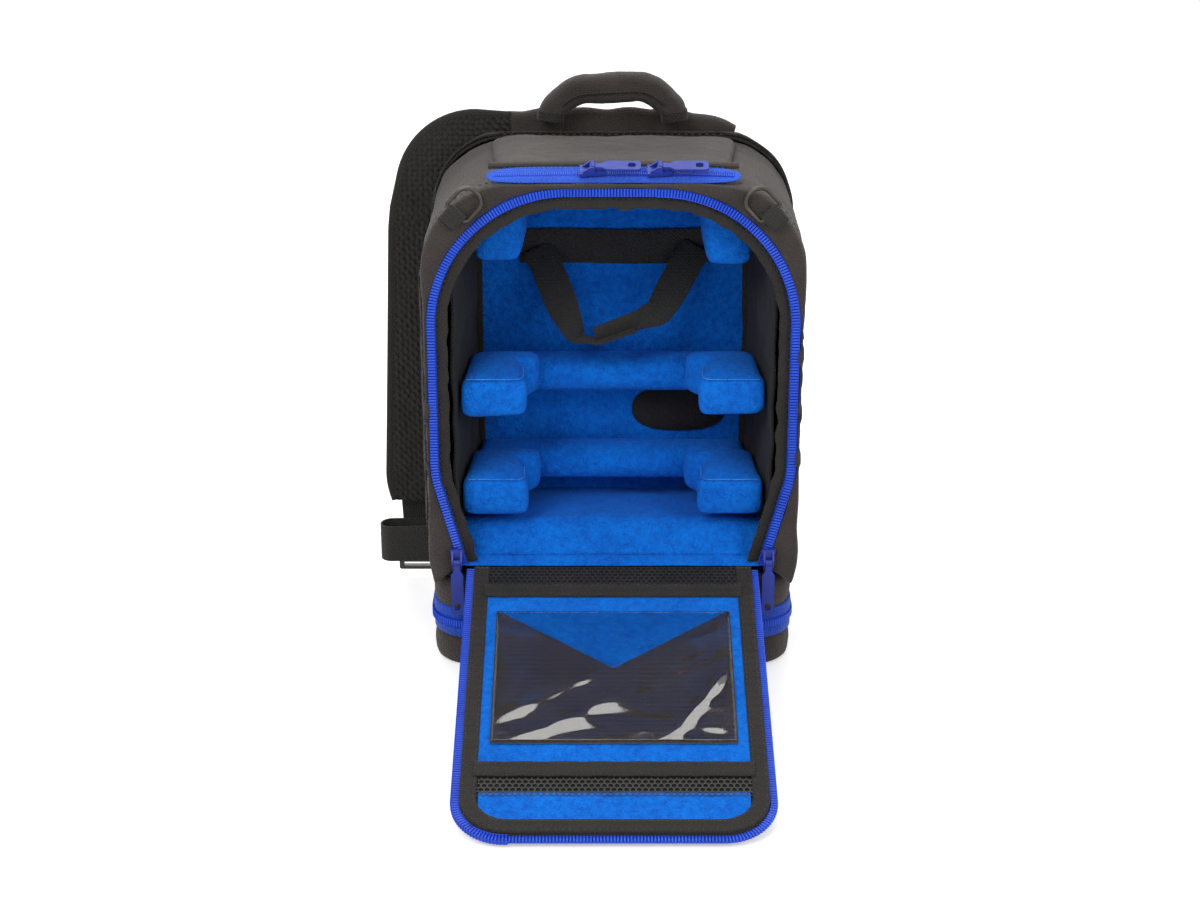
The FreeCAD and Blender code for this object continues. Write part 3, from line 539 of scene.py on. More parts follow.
def padded_board(half, bottom, top, corner, across, up, depth_at, sink=0.0):
    """A board whose outline is an arch: a grid bent to it, its depth from depth_at."""
    board = bmesh.new()
    bmesh.ops.create_grid(board, x_segments=across, y_segments=up, size=0.5)
    for vertex in board.verts:
        height = bottom + (vertex.co.y + 0.5) * (top - bottom)
        over = height - (top - corner)
        wide = half if over <= 0 else \
            half - corner + math.sqrt(max(0.0, corner ** 2 - over ** 2))
        side = vertex.co.x * 2 * wide
        rim = min(1.0, (wide - abs(side)) / 9, (height - bottom) / 9 + 0.15, (top - height) / 9)
        rim = math.sqrt(max(0.0, 1 - (1 - rim) ** 2))
        vertex.co = Vector((side, depth_at(side, height) * rim + sink, height)) * MM
    return board


def back_depth(side, height):
    """Two long pads beside a middle channel, with a cross channel low down."""
    middle = math.exp(-(side / 9) ** 2)
    cross = math.exp(-((height - 175) / 8) ** 2)
    return 13.6 - 6.0 * max(middle, cross)


back_knit = cloth("back_mesh", knit_group, (12, 12, 12), (50, 48, 45), 1.2, 0.1)
back = padded_board(149, 76.5, 419, 62, 90, 110, back_depth, 64)
ruffle(back, 0.5, 20, 2)
back_panel = piece("back_panel", back, "bag", back_knit, ["back_panel"])
thicken(back_panel, 2.0)
back_edge = spaced(shell_line(149.6, 414.5, 64, 77, 70), 170)
piece("back_edge_tape", ribbon(back_edge, (0, 1, 0), 11, 2.6, rows=1), "bag",
      black_binding)


def stitch_row(marks, ups, length=3.2, gap=2.2, width=0.7, lift=0.0):
    """A row of short thread stitches along a line, each a slim bead."""
    total = line_length(marks)
    count = max(2, int(total / (length + gap)))
    spots = spaced(marks, count)
    row = bmesh.new()
    for index, spot in enumerate(spots):
        along = heading(spots, index)
        up = (ups(spot) if callable(ups) else Vector(ups)).normalized()
        side = along.cross(up).normalized()
        bead = bmesh.ops.create_icosphere(row, subdivisions=1, radius=0.5)["verts"]
        for vertex in bead:
            across, run, rise = vertex.co
            vertex.co = (spot + up * lift + side * across * width + along * run * length
                         + up * rise * width) * MM
    return row


thread = glossy("thread", (20, 19, 18), (58, 54, 50), 0.6, bump=0.05)


def stitches(name, marks, ups, *sizes, body="bag", lift=0.0):
    """A row of dark thread stitches as a piece; sizes are their length, gap and width."""
    return piece(name, stitch_row(marks, ups, *sizes, lift=lift), body, thread)


def out_of_shell(spot):
    """Outward from the shell: level at the sides, turning up round the arch."""
    return Vector((spot.x, 0, 0)) if spot.z < 340 else Vector((spot.x / 2, 0, spot.z - 330))


seam_spots = spaced(shell_line(149.9, 410.1, 70, 104, -64), 200)
stitches("front_seam_stitches", seam_spots, out_of_shell, lift=0.2)


# ---------------------------------------------------------------- lining and floor
# Brushed blue fleece on the back wall and under the top, black spacer mesh on the
# side walls, and a fleece pad sloping up from the sill.

def fleece_material(name, dark, light):
    """Brushed fleece: a fine pile in clumps, its colour lighter on the raised pile and darker
    between, partly its own mottling and partly painted highlight and shade.
    """
    material, tree, shader = new_material(name)
    place = add_node(tree, "ShaderNodeTexCoord").outputs["Object"]
    pile = mottled(tree, place, 760, 4)
    clump = mottled(tree, place, 190, 3)
    nap = mottled(tree, place, 26, 2)
    # The colour follows the pile and clump noise that also raise the bump: lighter on raised pile
    # and darker between, partly mottling and partly painted highlight and shade.
    tone = math_node(tree, "ADD", math_node(tree, "MULTIPLY", pile, 0.75),
                     math_node(tree, "MULTIPLY", clump, 0.7))
    tone = math_node(tree, "ADD", tone, math_node(tree, "MULTIPLY", nap, 0.5))
    ramp = add_node(tree, "ShaderNodeMapRange")
    ramp.inputs["From Min"].default_value = 0.72
    ramp.inputs["From Max"].default_value = 1.2
    tree.links.new(tone, ramp.inputs["Value"])
    mix = add_node(tree, "ShaderNodeMix", data_type="RGBA")
    mix.inputs["A"].default_value = rgb(*dark)
    mix.inputs["B"].default_value = rgb(*light)
    tree.links.new(ramp.outputs[0], mix.inputs["Factor"])
    tree.links.new(mix.outputs["Result"], shader.inputs["Base Color"])
    height = math_node(tree, "ADD", pile, math_node(tree, "MULTIPLY", clump, 1.6))
    relief = add_node(tree, "ShaderNodeBump")
    relief.inputs["Distance"].default_value = 1.1 * MM
    tree.links.new(height, relief.inputs["Height"])
    slow = add_node(tree, "ShaderNodeBump")
    slow.inputs["Distance"].default_value = 3.5 * MM
    slow.inputs["Strength"].default_value = 0.5
    tree.links.new(nap, slow.inputs["Height"])
    tree.links.new(slow.outputs["Normal"], relief.inputs["Normal"])
    tree.links.new(relief.outputs["Normal"], shader.inputs["Normal"])
    tree.links.new(math_node(tree, "ADD", 0.8, math_node(tree, "MULTIPLY", pile, 0.15)),
                   shader.inputs["Roughness"])
    shader.inputs["Sheen Weight"].default_value = 0.25
    shader.inputs["Sheen Roughness"].default_value = 0.5
    shader.inputs["Sheen Tint"].default_value = rgb(90, 160, 255)
    shader.inputs["Specular IOR Level"].default_value = 0.15
    return material


blue_fleece = fleece_material("blue_fleece", (0, 82, 180), (6, 116, 222))
side_mesh_cloth = cloth("side_mesh", knit_group, (8, 8, 8), (44, 42, 40), 1.3, 0.05)


def bent_sheet(across, up, place_at):
    """A grid of cloth whose points are set by place_at(share across, share up), in mm."""
    cloth_grid = bmesh.new()
    bmesh.ops.create_grid(cloth_grid, x_segments=across, y_segments=up, size=0.5)
    for vertex in cloth_grid.verts:
        vertex.co = Vector(place_at(vertex.co.x + 0.5, vertex.co.y + 0.5)) * MM
    return cloth_grid


def back_wall(across, up):
    height = 96 + up * 300
    over = max(0.0, height - 330)
    wide = 128 - 14 * (over / 66) ** 2
    return ((across * 2 - 1) * wide, 60.4 - 1.2 * math.sin(math.pi * across), height)


back_lining = bent_sheet(70, 80, back_wall)
ruffle(back_lining, 1.5, 45, 6)
ruffle(back_lining, 0.4, 12, 9)
thicken(piece("back_lining", back_lining, "bag", blue_fleece,
                        ["back_lining"]), 3)

both_sides = ((-1, "left"), (1, "right"))
for sign, side in both_sides:
    def side_wall(across, up):
        depth = -67 + across * 124
        height = 92 + up * 262
        width = 128.6 + (115.6 - 128.6) * across + 9 * max(0.0, (height - 330) / 24) * -1
        return (sign * width, depth, height)
    lining = bent_sheet(40, 80, side_wall)
    ruffle(lining, 2.2, 30, 11 * sign)
    thicken(piece(f"{side}_side_lining", lining, "bag", side_mesh_cloth,
                            ["side_linings"]), 2)
    rim = [Vector((sign * 114.6, 56, height)) for height in range(100, 352, 6)]
    piece(f"{side}_lining_tape", ribbon(rim, (1, -0.3, 0), 12, 1.6), "bag", black_binding)


def under_top(across, up):
    side = (across * 2 - 1)
    return (side * 128, -64 + up * 119, 398.5 - 30 * abs(side) ** 5)


top_lining = bent_sheet(60, 40, under_top)
ruffle(top_lining, 1.6, 40, 13)
piece("top_lining", top_lining, "bag", blue_fleece)


def floor_place(across, up):
    depth = -67.5 + up * 124
    if depth < -38:
        height = 97 + 22.4 * math.sin((depth + 67.5) / 29.5 * math.pi / 2)
    else:
        height = 119.4 - 13.4 * (depth + 38) / 94.5
    side = across * 2 - 1
    return (side * (126.4 - 6 * max(0, up - 0.3)), depth, height - 4.0 * abs(side) ** 8)


floor_pad = bent_sheet(90, 60, floor_place)
ruffle(floor_pad, 1.6, 30, 15)
for vertex in floor_pad.verts:
    seam = math.exp(-((vertex.co.x / MM + 5) / 1.6) ** 2) if vertex.co.y < -38 * MM else 0
    vertex.co += Vector((0, 1.1 * seam, -0.8 * seam)) * MM
floor_piece = piece("floor_pad", floor_pad, "bag", blue_fleece,
                    ["floor_pad", "main_floor"])
thicken(floor_piece, 4)

sill = bent_sheet(80, 8, lambda across, up: (
    (across * 2 - 1) * 121, -77.5 + up * 12, 91.2 + 5.2 * math.sin(up * math.pi / 2)))
ruffle(sill, 0.5, 20, 17)
piece("sill_strip", sill, "bag", blue_fleece)


# ---------------------------------------------------------------- shelves
# U-shaped fleece-covered foam: a bar along the back wall with an arm at each side,
# and two blocks hung under the top corners. Each cover is sewn inside out.

def foam_block(corners, bottom, height):
    """A foam block from its plan outline, its edges rounded for the cover."""
    block = bmesh.new()
    base = [block.verts.new(Vector((x, y, bottom)) * MM) for x, y in corners]
    face = block.faces.new(base)
    lifted = bmesh.ops.extrude_face_region(block, geom=[face])["geom"]
    bmesh.ops.translate(block, vec=Vector((0, 0, height)) * MM,
                        verts=[item for item in lifted if isinstance(item, bmesh.types.BMVert)])
    bmesh.ops.recalc_face_normals(block, faces=block.faces)
    bmesh.ops.bevel(block, geom=list(block.edges), offset=6.5 * MM, offset_type="OFFSET",
                    affect="EDGES", segments=3, profile=0.5, material=-1)
    return block


def smoothed(made):
    """One subdivision of the mesh, the same in the view and in the render."""
    finer = made.modifiers.new("smooth", "SUBSURF")
    finer.levels = finer.render_levels = 1
    return made


def swell(made, voxel, cap, pressure=4.0, frames=20):
    """Fill a closed cover: remesh it, blow it up as cloth, and keep each point near."""
    remesh = made.modifiers.new("voxels", "REMESH")
    remesh.mode = "VOXEL"
    remesh.voxel_size = voxel * MM
    bpy.context.view_layer.update()
    shape = bpy.data.meshes.new_from_object(
        made.evaluated_get(bpy.context.evaluated_depsgraph_get()))
    cover = bpy.data.objects.new("cover", shape)
    scene.collection.objects.link(cover)
    start = [vertex.co.copy() for vertex in shape.vertices]
    fill = cover.modifiers.new("cloth", "CLOTH")
    fill.settings.quality = 5
    fill.settings.use_pressure = True
    fill.settings.uniform_pressure_force = pressure
    fill.settings.effector_weights.gravity = 0
    fill.settings.tension_stiffness = 12
    fill.settings.bending_stiffness = 0.8
    for step in range(1, frames + 1):
        scene.frame_set(step)
    blown = bpy.data.meshes.new_from_object(
        cover.evaluated_get(bpy.context.evaluated_depsgraph_get()))
    bpy.data.objects.remove(cover)
    scene.frame_set(1)
    made.modifiers.remove(remesh)
    for vertex, first in zip(blown.vertices, start):
        move = vertex.co - first
        if move.length > cap * MM:
            vertex.co = first + move.normalized() * cap * MM
    blown.materials.clear()
    blown.materials.append(made.data.materials[0])
    blown.name = made.name
    made.data = blown
    blown.shade_smooth()
    return smoothed(made)


def seam_line(name, corners, body="bag", bulge=0.0):
    """The cover's sewn edge: a slim ridge of fleece along a line, in a paler blue that is a
    painted highlight.
    """
    marks = spaced(rounded_path([(corner, 0 if index in (0, len(corners) - 1) else 7)
                                 for index, corner in enumerate(corners)], 1.5), 60)
    for index, mark in enumerate(marks):
        mark.z += bulge * math.sin(math.pi * index / 59)
    return piece(name, ribbon(marks, (0, 1, 0.01), 0.9, 0.9, 0.3, rows=1), body, seam_painted_highlight)


# The seam ridge is real; its paler blue, a lit copy of the fleece, is a painted highlight along
# the arm edges.
seam_painted_highlight = fleece_material("blue_seam_painted_highlight", (24, 96, 192), (70, 146, 236))
arm_height, arm_inset = 37, 2.2
for level, bar_low, arm_low in (("upper", 205, 212), ("lower", 126, 126)):
    bar = foam_block([(-113, 18.5), (113, 18.5), (113, 56), (-113, 56)], bar_low + 2, 27)
    ruffle(bar, 0.8, 18, bar_low)
    bar = piece(f"{level}_shelf_bar", bar, "bag", blue_fleece,
                [f"{level}_shelf_bar"])
    swell(bar, 5, 3.0)
    for sign, side in both_sides:
        outline = [(123.5, -61), (117, 15), (60, 15), (60, -4), (72, -15), (68, -61)]
        drop = (3 if side == "left" else -2) if level == "upper" else 0
        arm = foam_block([(sign * x, y) for x, y in outline], arm_low + arm_inset,
                         arm_height - 2 * arm_inset)
        for vertex in arm.verts:
            near = max(0.0, (-vertex.co.y / MM) / 61)
            vertex.co.z -= (0.8 + 0.012 * (abs(vertex.co.x) / MM - 65) * drop) * near * MM
        ruffle(arm, 0.9, 22, sign * arm_low)
        arm = piece(f"{side}_{level}_arm", arm, "bag", blue_fleece,
                    [f"{level}_shelf_arms"])
        swell(arm, 4.5, 3.0)
        seam_line(f"{side}_{level}_seam",
                  [(sign * 117.5, -59.2, arm_low + 33.6), (sign * 71.5, -59.2, arm_low + 33.6),
                   (sign * 72.8, -34, arm_low + 35.2)])

block_bottom, block_height = 335, 63
for sign, side in both_sides:
    block = foam_block([(sign * 74, -44), (sign * 110, -44), (sign * 110, 36), (sign * 74, 36)],
                       block_bottom, block_height)
    for vertex in block.verts:
        forward = max(0.0, (-4 - vertex.co.y / MM) / 42)
        low = 1 - (vertex.co.z / MM - block_bottom) / block_height
        vertex.co.z += (1.5 - sign * 2) * forward * low * MM
        vertex.co.x -= sign * 5 * (1 - low) * MM
    ruffle(block, 1.1, 20, 7 * sign)
    block = piece(f"{side}_corner_block", block, "bag", blue_fleece,
                  ["corner_blocks"])
    swell(block, 4.5, 3.0)


# ---------------------------------------------------------------- back wall fittings
# A black webbing band sewn across the back wall, the grab loop that hangs from it,
# and an oval mesh vent lower down.

band_line = [Vector((-78 + 163 * step / 40, 55.2 + 0.4 * math.sin(step),
                     324 + 0.6 * math.sin(step / 5))) for step in range(41)]
piece("anchor_band", ribbon(band_line, (0, 0, 1), 30, 2.0, rows=3), "bag", black_webbing,
      ["anchor_band"])
for level, edge in (("low", 311.5), ("high", 336.5)):
    stitches(f"band_stitches_{level}", [Vector((mark.x, 54, edge)) for mark in band_line],
             (0, -1, 0), 2.6, 2.2, 0.8)

loop_points = 60
tilt = math.radians(40)
pivot = Vector((0, 55, 324))


def on_loop(across, drop, lift=0.0):
    """A point of the hanging loop: drop below the fold line, along its own slope."""
    return pivot + Vector((across, -drop * math.sin(tilt) - 2.2 - lift * math.cos(tilt),
                           -drop * math.cos(tilt) + lift * math.sin(tilt)))


for side, route, lift in (
        ("left", [(-64, 1), (-56, 14), (-39, 60), (-30, 82), (-12, 85), (18, 74)], 0.0),
        ("right", [(71, 1), (62, 14), (48, 42), (38, 60), (16, 69), (-14, 82)], 2.4)):
    corners = [(on_loop(x, y, lift), 0 if index in (0, 5) else 7)
               for index, (x, y) in enumerate(route)]
    marks = spaced(rounded_path(corners, 2), loop_points)
    flat = on_loop(0, 0) - on_loop(0, 0, 1)
    sides = []
    for index, mark in enumerate(marks):
        along = heading(marks, index)
        share = min(1.0, max(0.0, (index / (loop_points - 1) - 0.45) / 0.25))
        across = along.cross(flat).normalized()
        sides.append((across * (1 - 0.55 * share) + flat.normalized() * 0.55 * share).normalized())
    widths = [27 - 9 * min(1, max(0, (i / (loop_points - 1) - 0.4) / 0.3))
              for i in range(loop_points)]
    strap = ribbon(marks, sides, widths, 1.9, rows=3)
    piece(f"retention_{side}_strap", strap, "retention_loop", black_webbing,
          [f"retention_{side}_strap"])

vent = bmesh.new()
bmesh.ops.create_circle(vent, cap_ends=True, segments=64, radius=1.0)
for vertex in vent.verts:
    x, y = vertex.co.x, vertex.co.y
    vertex.co = Vector((57 + 40 * math.copysign(abs(x) ** 0.75, x), 54.9,
                        178.5 + 20 * math.copysign(abs(y) ** 0.85, y))) * MM
bmesh.ops.inset_region(vent, faces=list(vent.faces), thickness=4 * MM, depth=1.2 * MM)
thicken(piece("mesh_vent", vent, "bag", side_mesh_cloth, ["mesh_vent"]), 1.2)


# ---------------------------------------------------------------- opening zip
# One half of the main zip runs round the opening: a ribbed blue coil on its tape,
# and inside it a black bias binding that gathers a little between its stitches.

front = Vector((0, -1, 0))
chain = opening_line(3.4, -76.4)
piece("opening_zip_coil", zip_teeth(chain, front, 6.6, 3.0), "bag", blue_coil,
      ["opening_zip_chain"], smooth=False)
tape_marks = spaced(opening_line(3.6, -74.4), 260)
piece("opening_zip_tape", ribbon(tape_marks, (0, 1, 0.001), 3.0, 8.4, rows=1), "bag", blue_tape)
wavy = spaced(opening_line(-4.6, -74.5), 330)
for index, mark in enumerate(wavy):
    wave = noise.noise(Vector((index / 5.5, 0, 0)))
    middle = Vector((0, mark.y, 245))
    mark += (mark - middle).normalized() * wave * 1.3
    mark.y += noise.noise(Vector((index / 4.0, 7, 0))) * 1.1
binding_sides = []
for index, mark in enumerate(wavy):
    along = heading(wavy, index)
    lean = 0.35 + 0.35 * noise.noise(Vector((index / 7.0, 3, 1)))
    binding_sides.append(along.cross(front) + front * lean)
piece("opening_binding",
      ribbon(wavy, binding_sides,
             [10.6 + 2.2 * noise.noise(Vector((i / 4.5, 0, 9))) for i in range(len(wavy))], 2.2,
             rows=2), "bag", black_binding, ["opening_binding"])
stitches("opening_stitches", spaced(opening_line(-1.6, -76.2), 300), front, 2.6, 2.4)


# ---------------------------------------------------------------- front flap
# The zipped-off front, hinged at the sill and laid down before the bag: a padded
# twill panel, fleece inside, with mesh strips, bars and a clear window pocket.

hinge = Vector((0, -78.3, 93))
slope = math.radians(15.8535)
down = Vector((0, -math.cos(slope), -math.sin(slope)))
face_up = Vector((0, -math.sin(slope), math.cos(slope)))


def on_flap(across, along, rise=0.0):
    """A point of the flap: across it, along it from the hinge, above its hinge plane."""
    return hinge + Vector((across, 0, 0)) + down * along + face_up * rise


def flap_u(half, far, corner, rise, near=3.0, step=2.0):
    """A line down one side of the flap, round its far corners and back."""
    return rounded_path([(on_flap(-half, near, rise), 0), (on_flap(-half, far, rise), corner),
                         (on_flap(half, far, rise), corner), (on_flap(half, near, rise), 0)],
                        step)


def flap_ring(half, near, far, corner, rise):
    corners = [(on_flap(0, near, rise), 0), (on_flap(half, near, rise), 4),
               (on_flap(half, far, rise), corner), (on_flap(-half, far, rise), corner),
               (on_flap(-half, near, rise), 4)]
    return spaced(rounded_path(corners, 2.0, closed=True), 241)[:-1]


panel = loft([flap_ring(112.5 - edge, 3 + edge, 296 - edge, 34 - edge * 0.5, rise)
              for edge, rise in ((6, -9.4), (2.4, -8.9), (0.4, -7), (0, -5.5), (0.6, -3.6),
                                 (3, -2.7))], capped=True)
ruffle(panel, 0.5, 30, 21)
piece("flap_panel", panel, "flap", outer_fabric, ["flap_panel"])
hem = ribbon([on_flap(-112 + 224 * i / 40, 2.2, -4.4) for i in range(41)], face_up, 5.5, 2.4)
piece("hinge_hem", hem, ("bag", "flap", on_flap(0, 0), on_flap(0, 4)), black_binding)

flap_chain = flap_u(115.6, 299.2, 37, -5.6)
piece("flap_zip_coil", zip_teeth(flap_chain, face_up, 5.8, 3.4), "flap", blue_coil,
      ["flap_zip_chain"], smooth=False)
piece("flap_zip_tape", ribbon(spaced(flap_u(114.6, 298.2, 36, -6.6), 220), face_up, 2.6, 6.4,
                              rows=1), "flap", blue_tape)
band = spaced(flap_u(106.4, 290, 29, -1.5), 260)
band_sides = []
for index, mark in enumerate(band):
    band_sides.append(heading(band, index).cross(face_up))
    mark += face_up * noise.noise(Vector((index / 6, 0, 2))) * 0.35
piece("flap_binding", ribbon(band, band_sides, 12.6, 2.6, rows=3), "flap", black_binding,
      ["flap_binding"])
for name, half, far, corner in (("outer", 110.8, 294.2, 33), ("inner", 102.2, 285.8, 25)):
    stitches(f"flap_{name}_stitches", flap_u(half, far, corner, -0.35), face_up, 3.0, 2.2, 0.8,
             body="flap")


def flap_cloth(left, right, near, far, rise, wave, seed, across=60, up=50):
    made = bent_sheet(across, up, lambda a, b: on_flap(
        left + (right - left) * a, near + (far - near) * b, rise))
    ruffle(made, wave, 20, seed)
    return made


under = flap_cloth(-103, 103, 3, 288, -2.2, 0.2, 1)
piece("flap_lining_backing", under, "flap", side_mesh_cloth)
fleece_face = flap_cloth(-101.5, 101.5, 38, 230, -1.2, 0.4, 5, 90, 80)
piece("flap_fleece", fleece_face, "flap", blue_fleece,
               ["flap_fleece"])
far_fleece = flap_cloth(-98.5, 98.5, 257, 284.5, -1.3, 0.4, 6, 90, 16)
piece("flap_far_fleece", far_fleece, "flap", blue_fleece)
for name, near, far in (("near", 26, 41), ("far", 227, 242)):
    bar_marks = [on_flap(-103 + 206 * i / 50, (near + far) / 2, 0.3 + 0.25 * math.sin(i * 0.9))
                 for i in range(51)]
    piece(f"flap_{name}_bar", ribbon(bar_marks, down, far - near, 1.6, rows=3), "flap",
          black_binding, ["flap_bars"])
    for edge in (near + 2, far - 2):
        stitches(f"flap_{name}_bar_stitches_{edge}",
                 [on_flap(-100 + 200 * i / 40, edge, 1.2) for i in range(41)], face_up,
                 2.6, 2.2, 0.7, body="flap")


def hex_net(left, right, near, far, rise, pitch=4.6, strand=0.62):
    """Open hexagonal mesh: six-sided cells side by side, each with its middle cut out."""
    net = bmesh.new()
    radius = pitch / math.sqrt(3)
    rows = int((far - near) / (radius * 1.5)) + 1
    for row in range(rows):
        shift = pitch / 2 if row % 2 else 0
        for column in range(int((right - left) / pitch)):
            cell = bmesh.ops.create_circle(net, cap_ends=True, segments=6, radius=radius)["verts"]
            for vertex in cell:
                across, along = vertex.co.x, vertex.co.y
                vertex.co = on_flap(left + shift + pitch * (column + 0.5) + across,
                                    near + radius * 1.5 * row + along, rise) * MM
    bmesh.ops.remove_doubles(net, verts=net.verts, dist=0.3 * MM)
    cells = list(net.faces)
    bmesh.ops.inset_individual(net, faces=cells, thickness=strand * MM, use_even_offset=True)
    bmesh.ops.delete(net, geom=cells, context="FACES")
    return net


net_cord = glossy("net_cord", (12, 12, 12), (48, 46, 44), 0.55, bump=0.1)
for name, near, far in (("near", 5, 27), ("far", 242.5, 259)):
    net = hex_net(-101.5, 101.5, near, far, -0.9)
    thicken(piece(f"flap_{name}_net", net, "flap", net_cord,
                  ["flap_mesh_strips"], smooth=False, merge=0.1), 0.9)

for sign, side in both_sides:
    pouch = bent_sheet(50, 70, lambda a, b: on_flap(sign * 92.5 * a, 59 + 149 * b, -0.25))
    corner, notch = on_flap(sign * 92.5, 57) * MM, on_flap(0, 125) * MM
    cut = (notch - corner).cross(face_up) * sign
    bmesh.ops.bisect_plane(pouch, geom=list(pouch.verts) + list(pouch.edges) + list(pouch.faces),
                           plane_co=corner, plane_no=cut, clear_outer=True)
    ruffle(pouch, 0.5, 18, sign)
    piece(f"window_pocket_{side}", pouch, "flap", outer_fabric,
                   ["window_pocket"])

vinyl, vinyl_tree, glass = new_material("clear_vinyl")
glass.inputs["Base Color"].default_value = (0.97, 0.97, 0.96, 1)
glass.inputs["Transmission Weight"].default_value = 1.0
glass.inputs["IOR"].default_value = 1.5
glass.inputs["Coat Weight"].default_value = 0.3
glass.inputs["Coat Roughness"].default_value = 0.03
vinyl_place = add_node(vinyl_tree, "ShaderNodeTexCoord").outputs["Object"]
crinkle = add_node(vinyl_tree, "ShaderNodeBump")
crinkle.inputs["Distance"].default_value = 0.35 * MM
vinyl_tree.links.new(mottled(vinyl_tree, vinyl_place, 34, 1.0), crinkle.inputs["Height"])
vinyl_tree.links.new(crinkle.outputs["Normal"], glass.inputs["Normal"])
vinyl_tree.links.new(
    math_node(vinyl_tree, "MULTIPLY", mottled(vinyl_tree, vinyl_place, 120), 0.09),
    glass.inputs["Roughness"])

window = bent_sheet(120, 100, lambda a, b: on_flap(-91.5 + 183 * a, 60 + 146 * b, 1.1))
for vertex in window.verts:
    offset = vertex.co / MM - hinge
    across, along = offset.x, offset.dot(down)
    rim = min(1.0, (91.5 - abs(across)) / 12, (along - 60) / 12, (206 - along) / 12)
    crease = across * 0.55 + (along - 150) * 0.84
    rise = 0.9 * math.exp(-((crease - 8) / 7) ** 2) + 0.6 * math.exp(-((crease + 22) / 5) ** 2)
    rise += 1.4 * math.exp(-((across - 62 + (along - 170) * 0.6) / 6) ** 2)
    rise += 0.6 * noise.noise(Vector((across / 34, along / 16, 3)))
    vertex.co += face_up * rise * max(0.0, rim) * MM
thicken(piece("flap_window", window, "flap", vinyl, ["flap_window"]), 0.35)
frame_line = rounded_path([(on_flap(-92, 59.5, 0.5), 0), (on_flap(-92, 206.5, 0.5), 2),
                           (on_flap(92, 206.5, 0.5), 2), (on_flap(92, 59.5, 0.5), 2),
                           (on_flap(-92, 59.5, 0.5), 0)], 2.0)
stitches("window_stitches", frame_line, face_up, 2.2, 1.8, 0.6, body="flap")


# ---------------------------------------------------------------- sliders and pullers
# Cast sliders with moulded pullers, all dyed blue: two on the main zip, one on the
# base zip and two on the top pocket.

for name in ("left_zip", "right_zip", "base_zip", "pocket_left", "pocket_right"):
    for part in ("slider", "puller"):
        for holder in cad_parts[f"{name}_{part}"].material_slots:
            holder.material = blue_puller


# ---------------------------------------------------------------- top pocket
# A flat pocket across the top of the bag: a padded twill lid, a blue zip along its
# sloping front edge and a rolled lip over the zip.

def lid_place(across, up):
    side = across * 2 - 1
    depth = -56 + up * 108
    rim = min(1.0, (1 - abs(side)) * 100 / 34, (52 - depth) / 14 + 0.2)
    rim = math.sqrt(max(0.0, 1 - (1 - rim) ** 2))
    lip = math.exp(-((depth + 53) / 4) ** 2)
    pinch = 1 - 0.1 * (1 - up) * abs(side) ** 4
    return (side * 100 * pinch, depth, 410.6 + (9.4 + 1.6 * lip) * rim)


lid = bent_sheet(90, 60, lid_place)
ruffle(lid, 1.2, 30, 33)
ruffle(lid, 0.5, 9, 35)
lid_piece = thicken(piece("top_pocket_lid", lid, "bag", outer_fabric,
                          ["top_pocket_cover"]), 2)

tape_slope = math.atan(10 / 19)
rise_of_tape = Vector((0, math.cos(tape_slope), math.sin(tape_slope)))
tape_face = Vector((0, -math.sin(tape_slope), math.cos(tape_slope)))
tape_foot = Vector((0, -73.7, 410.3))


def on_tape(across, up, rise=0.0):
    return tape_foot + Vector((across, 0, 0)) + rise_of_tape * up + tape_face * rise


pocket_marks = [on_tape(-98 + 196 * i / 80, 9.2 - 2.0 * abs(i / 40 - 1) ** 3, 0.5)
                for i in range(81)]
pocket_widths = [18.6 * (1 - abs(i / 40 - 1) ** 5) ** 0.5 + 3 * abs(i / 40 - 1) ** 5 + 0.5
                 for i in range(81)]
pale_tape = cloth("pocket_tape", webbing_group, (20, 54, 160), (52, 108, 230), 0.6, 0.2)
piece("pocket_zip_tape", ribbon(pocket_marks, rise_of_tape, pocket_widths, 1.2, 0.5, rows=3),
      "bag", pale_tape, ["pocket_zip"])
coil_marks = [on_tape(-92 + 184 * i / 60, 9.2 - 2.0 * abs(i / 30 - 1) ** 3, 1.5)
              for i in range(61)]
piece("pocket_zip_coil", zip_teeth(coil_marks, tape_face, 3.4, 1.0, 1.7, 0.66), "bag",
      blue_coil, smooth=False)
lip_marks = [on_tape(-97 + 194 * i / 60, 20.4 - 1.6 * abs(i / 30 - 1) ** 3, 0.9)
             for i in range(61)]
piece("pocket_lip", ribbon(lip_marks, rise_of_tape, 5.5, 3.4, 1.2, rows=1), "bag",
      outer_fabric)
for name, up in (("low", 2.2), ("high", 16.0)):
    piece(f"pocket_{name}_stitches",
          stitch_row([on_tape(-84 + 168 * i / 40, up, 1.2) for i in range(41)], tape_face,
                     2.2, 1.8, 0.5), "bag", blue_coil)
top_seam = [Vector((-88 + 176 * i / 30, 46, 420.5)) for i in range(31)]
stitches("lid_stitches", top_seam, (0, 0, 1), 3, 2.4, 0.8)


# ---------------------------------------------------------------- rings and tabs
# A cast gunmetal D-ring at each upper corner of the front. It hangs in a webbing tab
# folded over its straight bar and stitched down to the shell.

def tube(marks, radius, sides=12, closed=False):
    """A round bar along marks, which all lie on one smooth line."""
    rings = []
    count = len(marks)
    for index, mark in enumerate(marks):
        if closed:
            along = (marks[(index + 1) % count] - marks[index - 1]).normalized()
        else:
            along = heading(marks, index)
        side = along.cross(Vector((0.02, 1, 0.03))).normalized()
        up = side.cross(along)
        rings.append([mark + side * radius * math.cos(2 * math.pi * part / sides)
                      + up * radius * math.sin(2 * math.pi * part / sides)
                      for part in range(sides)])
    if closed:
        rings.append(rings[0])
    return loft(rings, closed=True, capped=not closed)


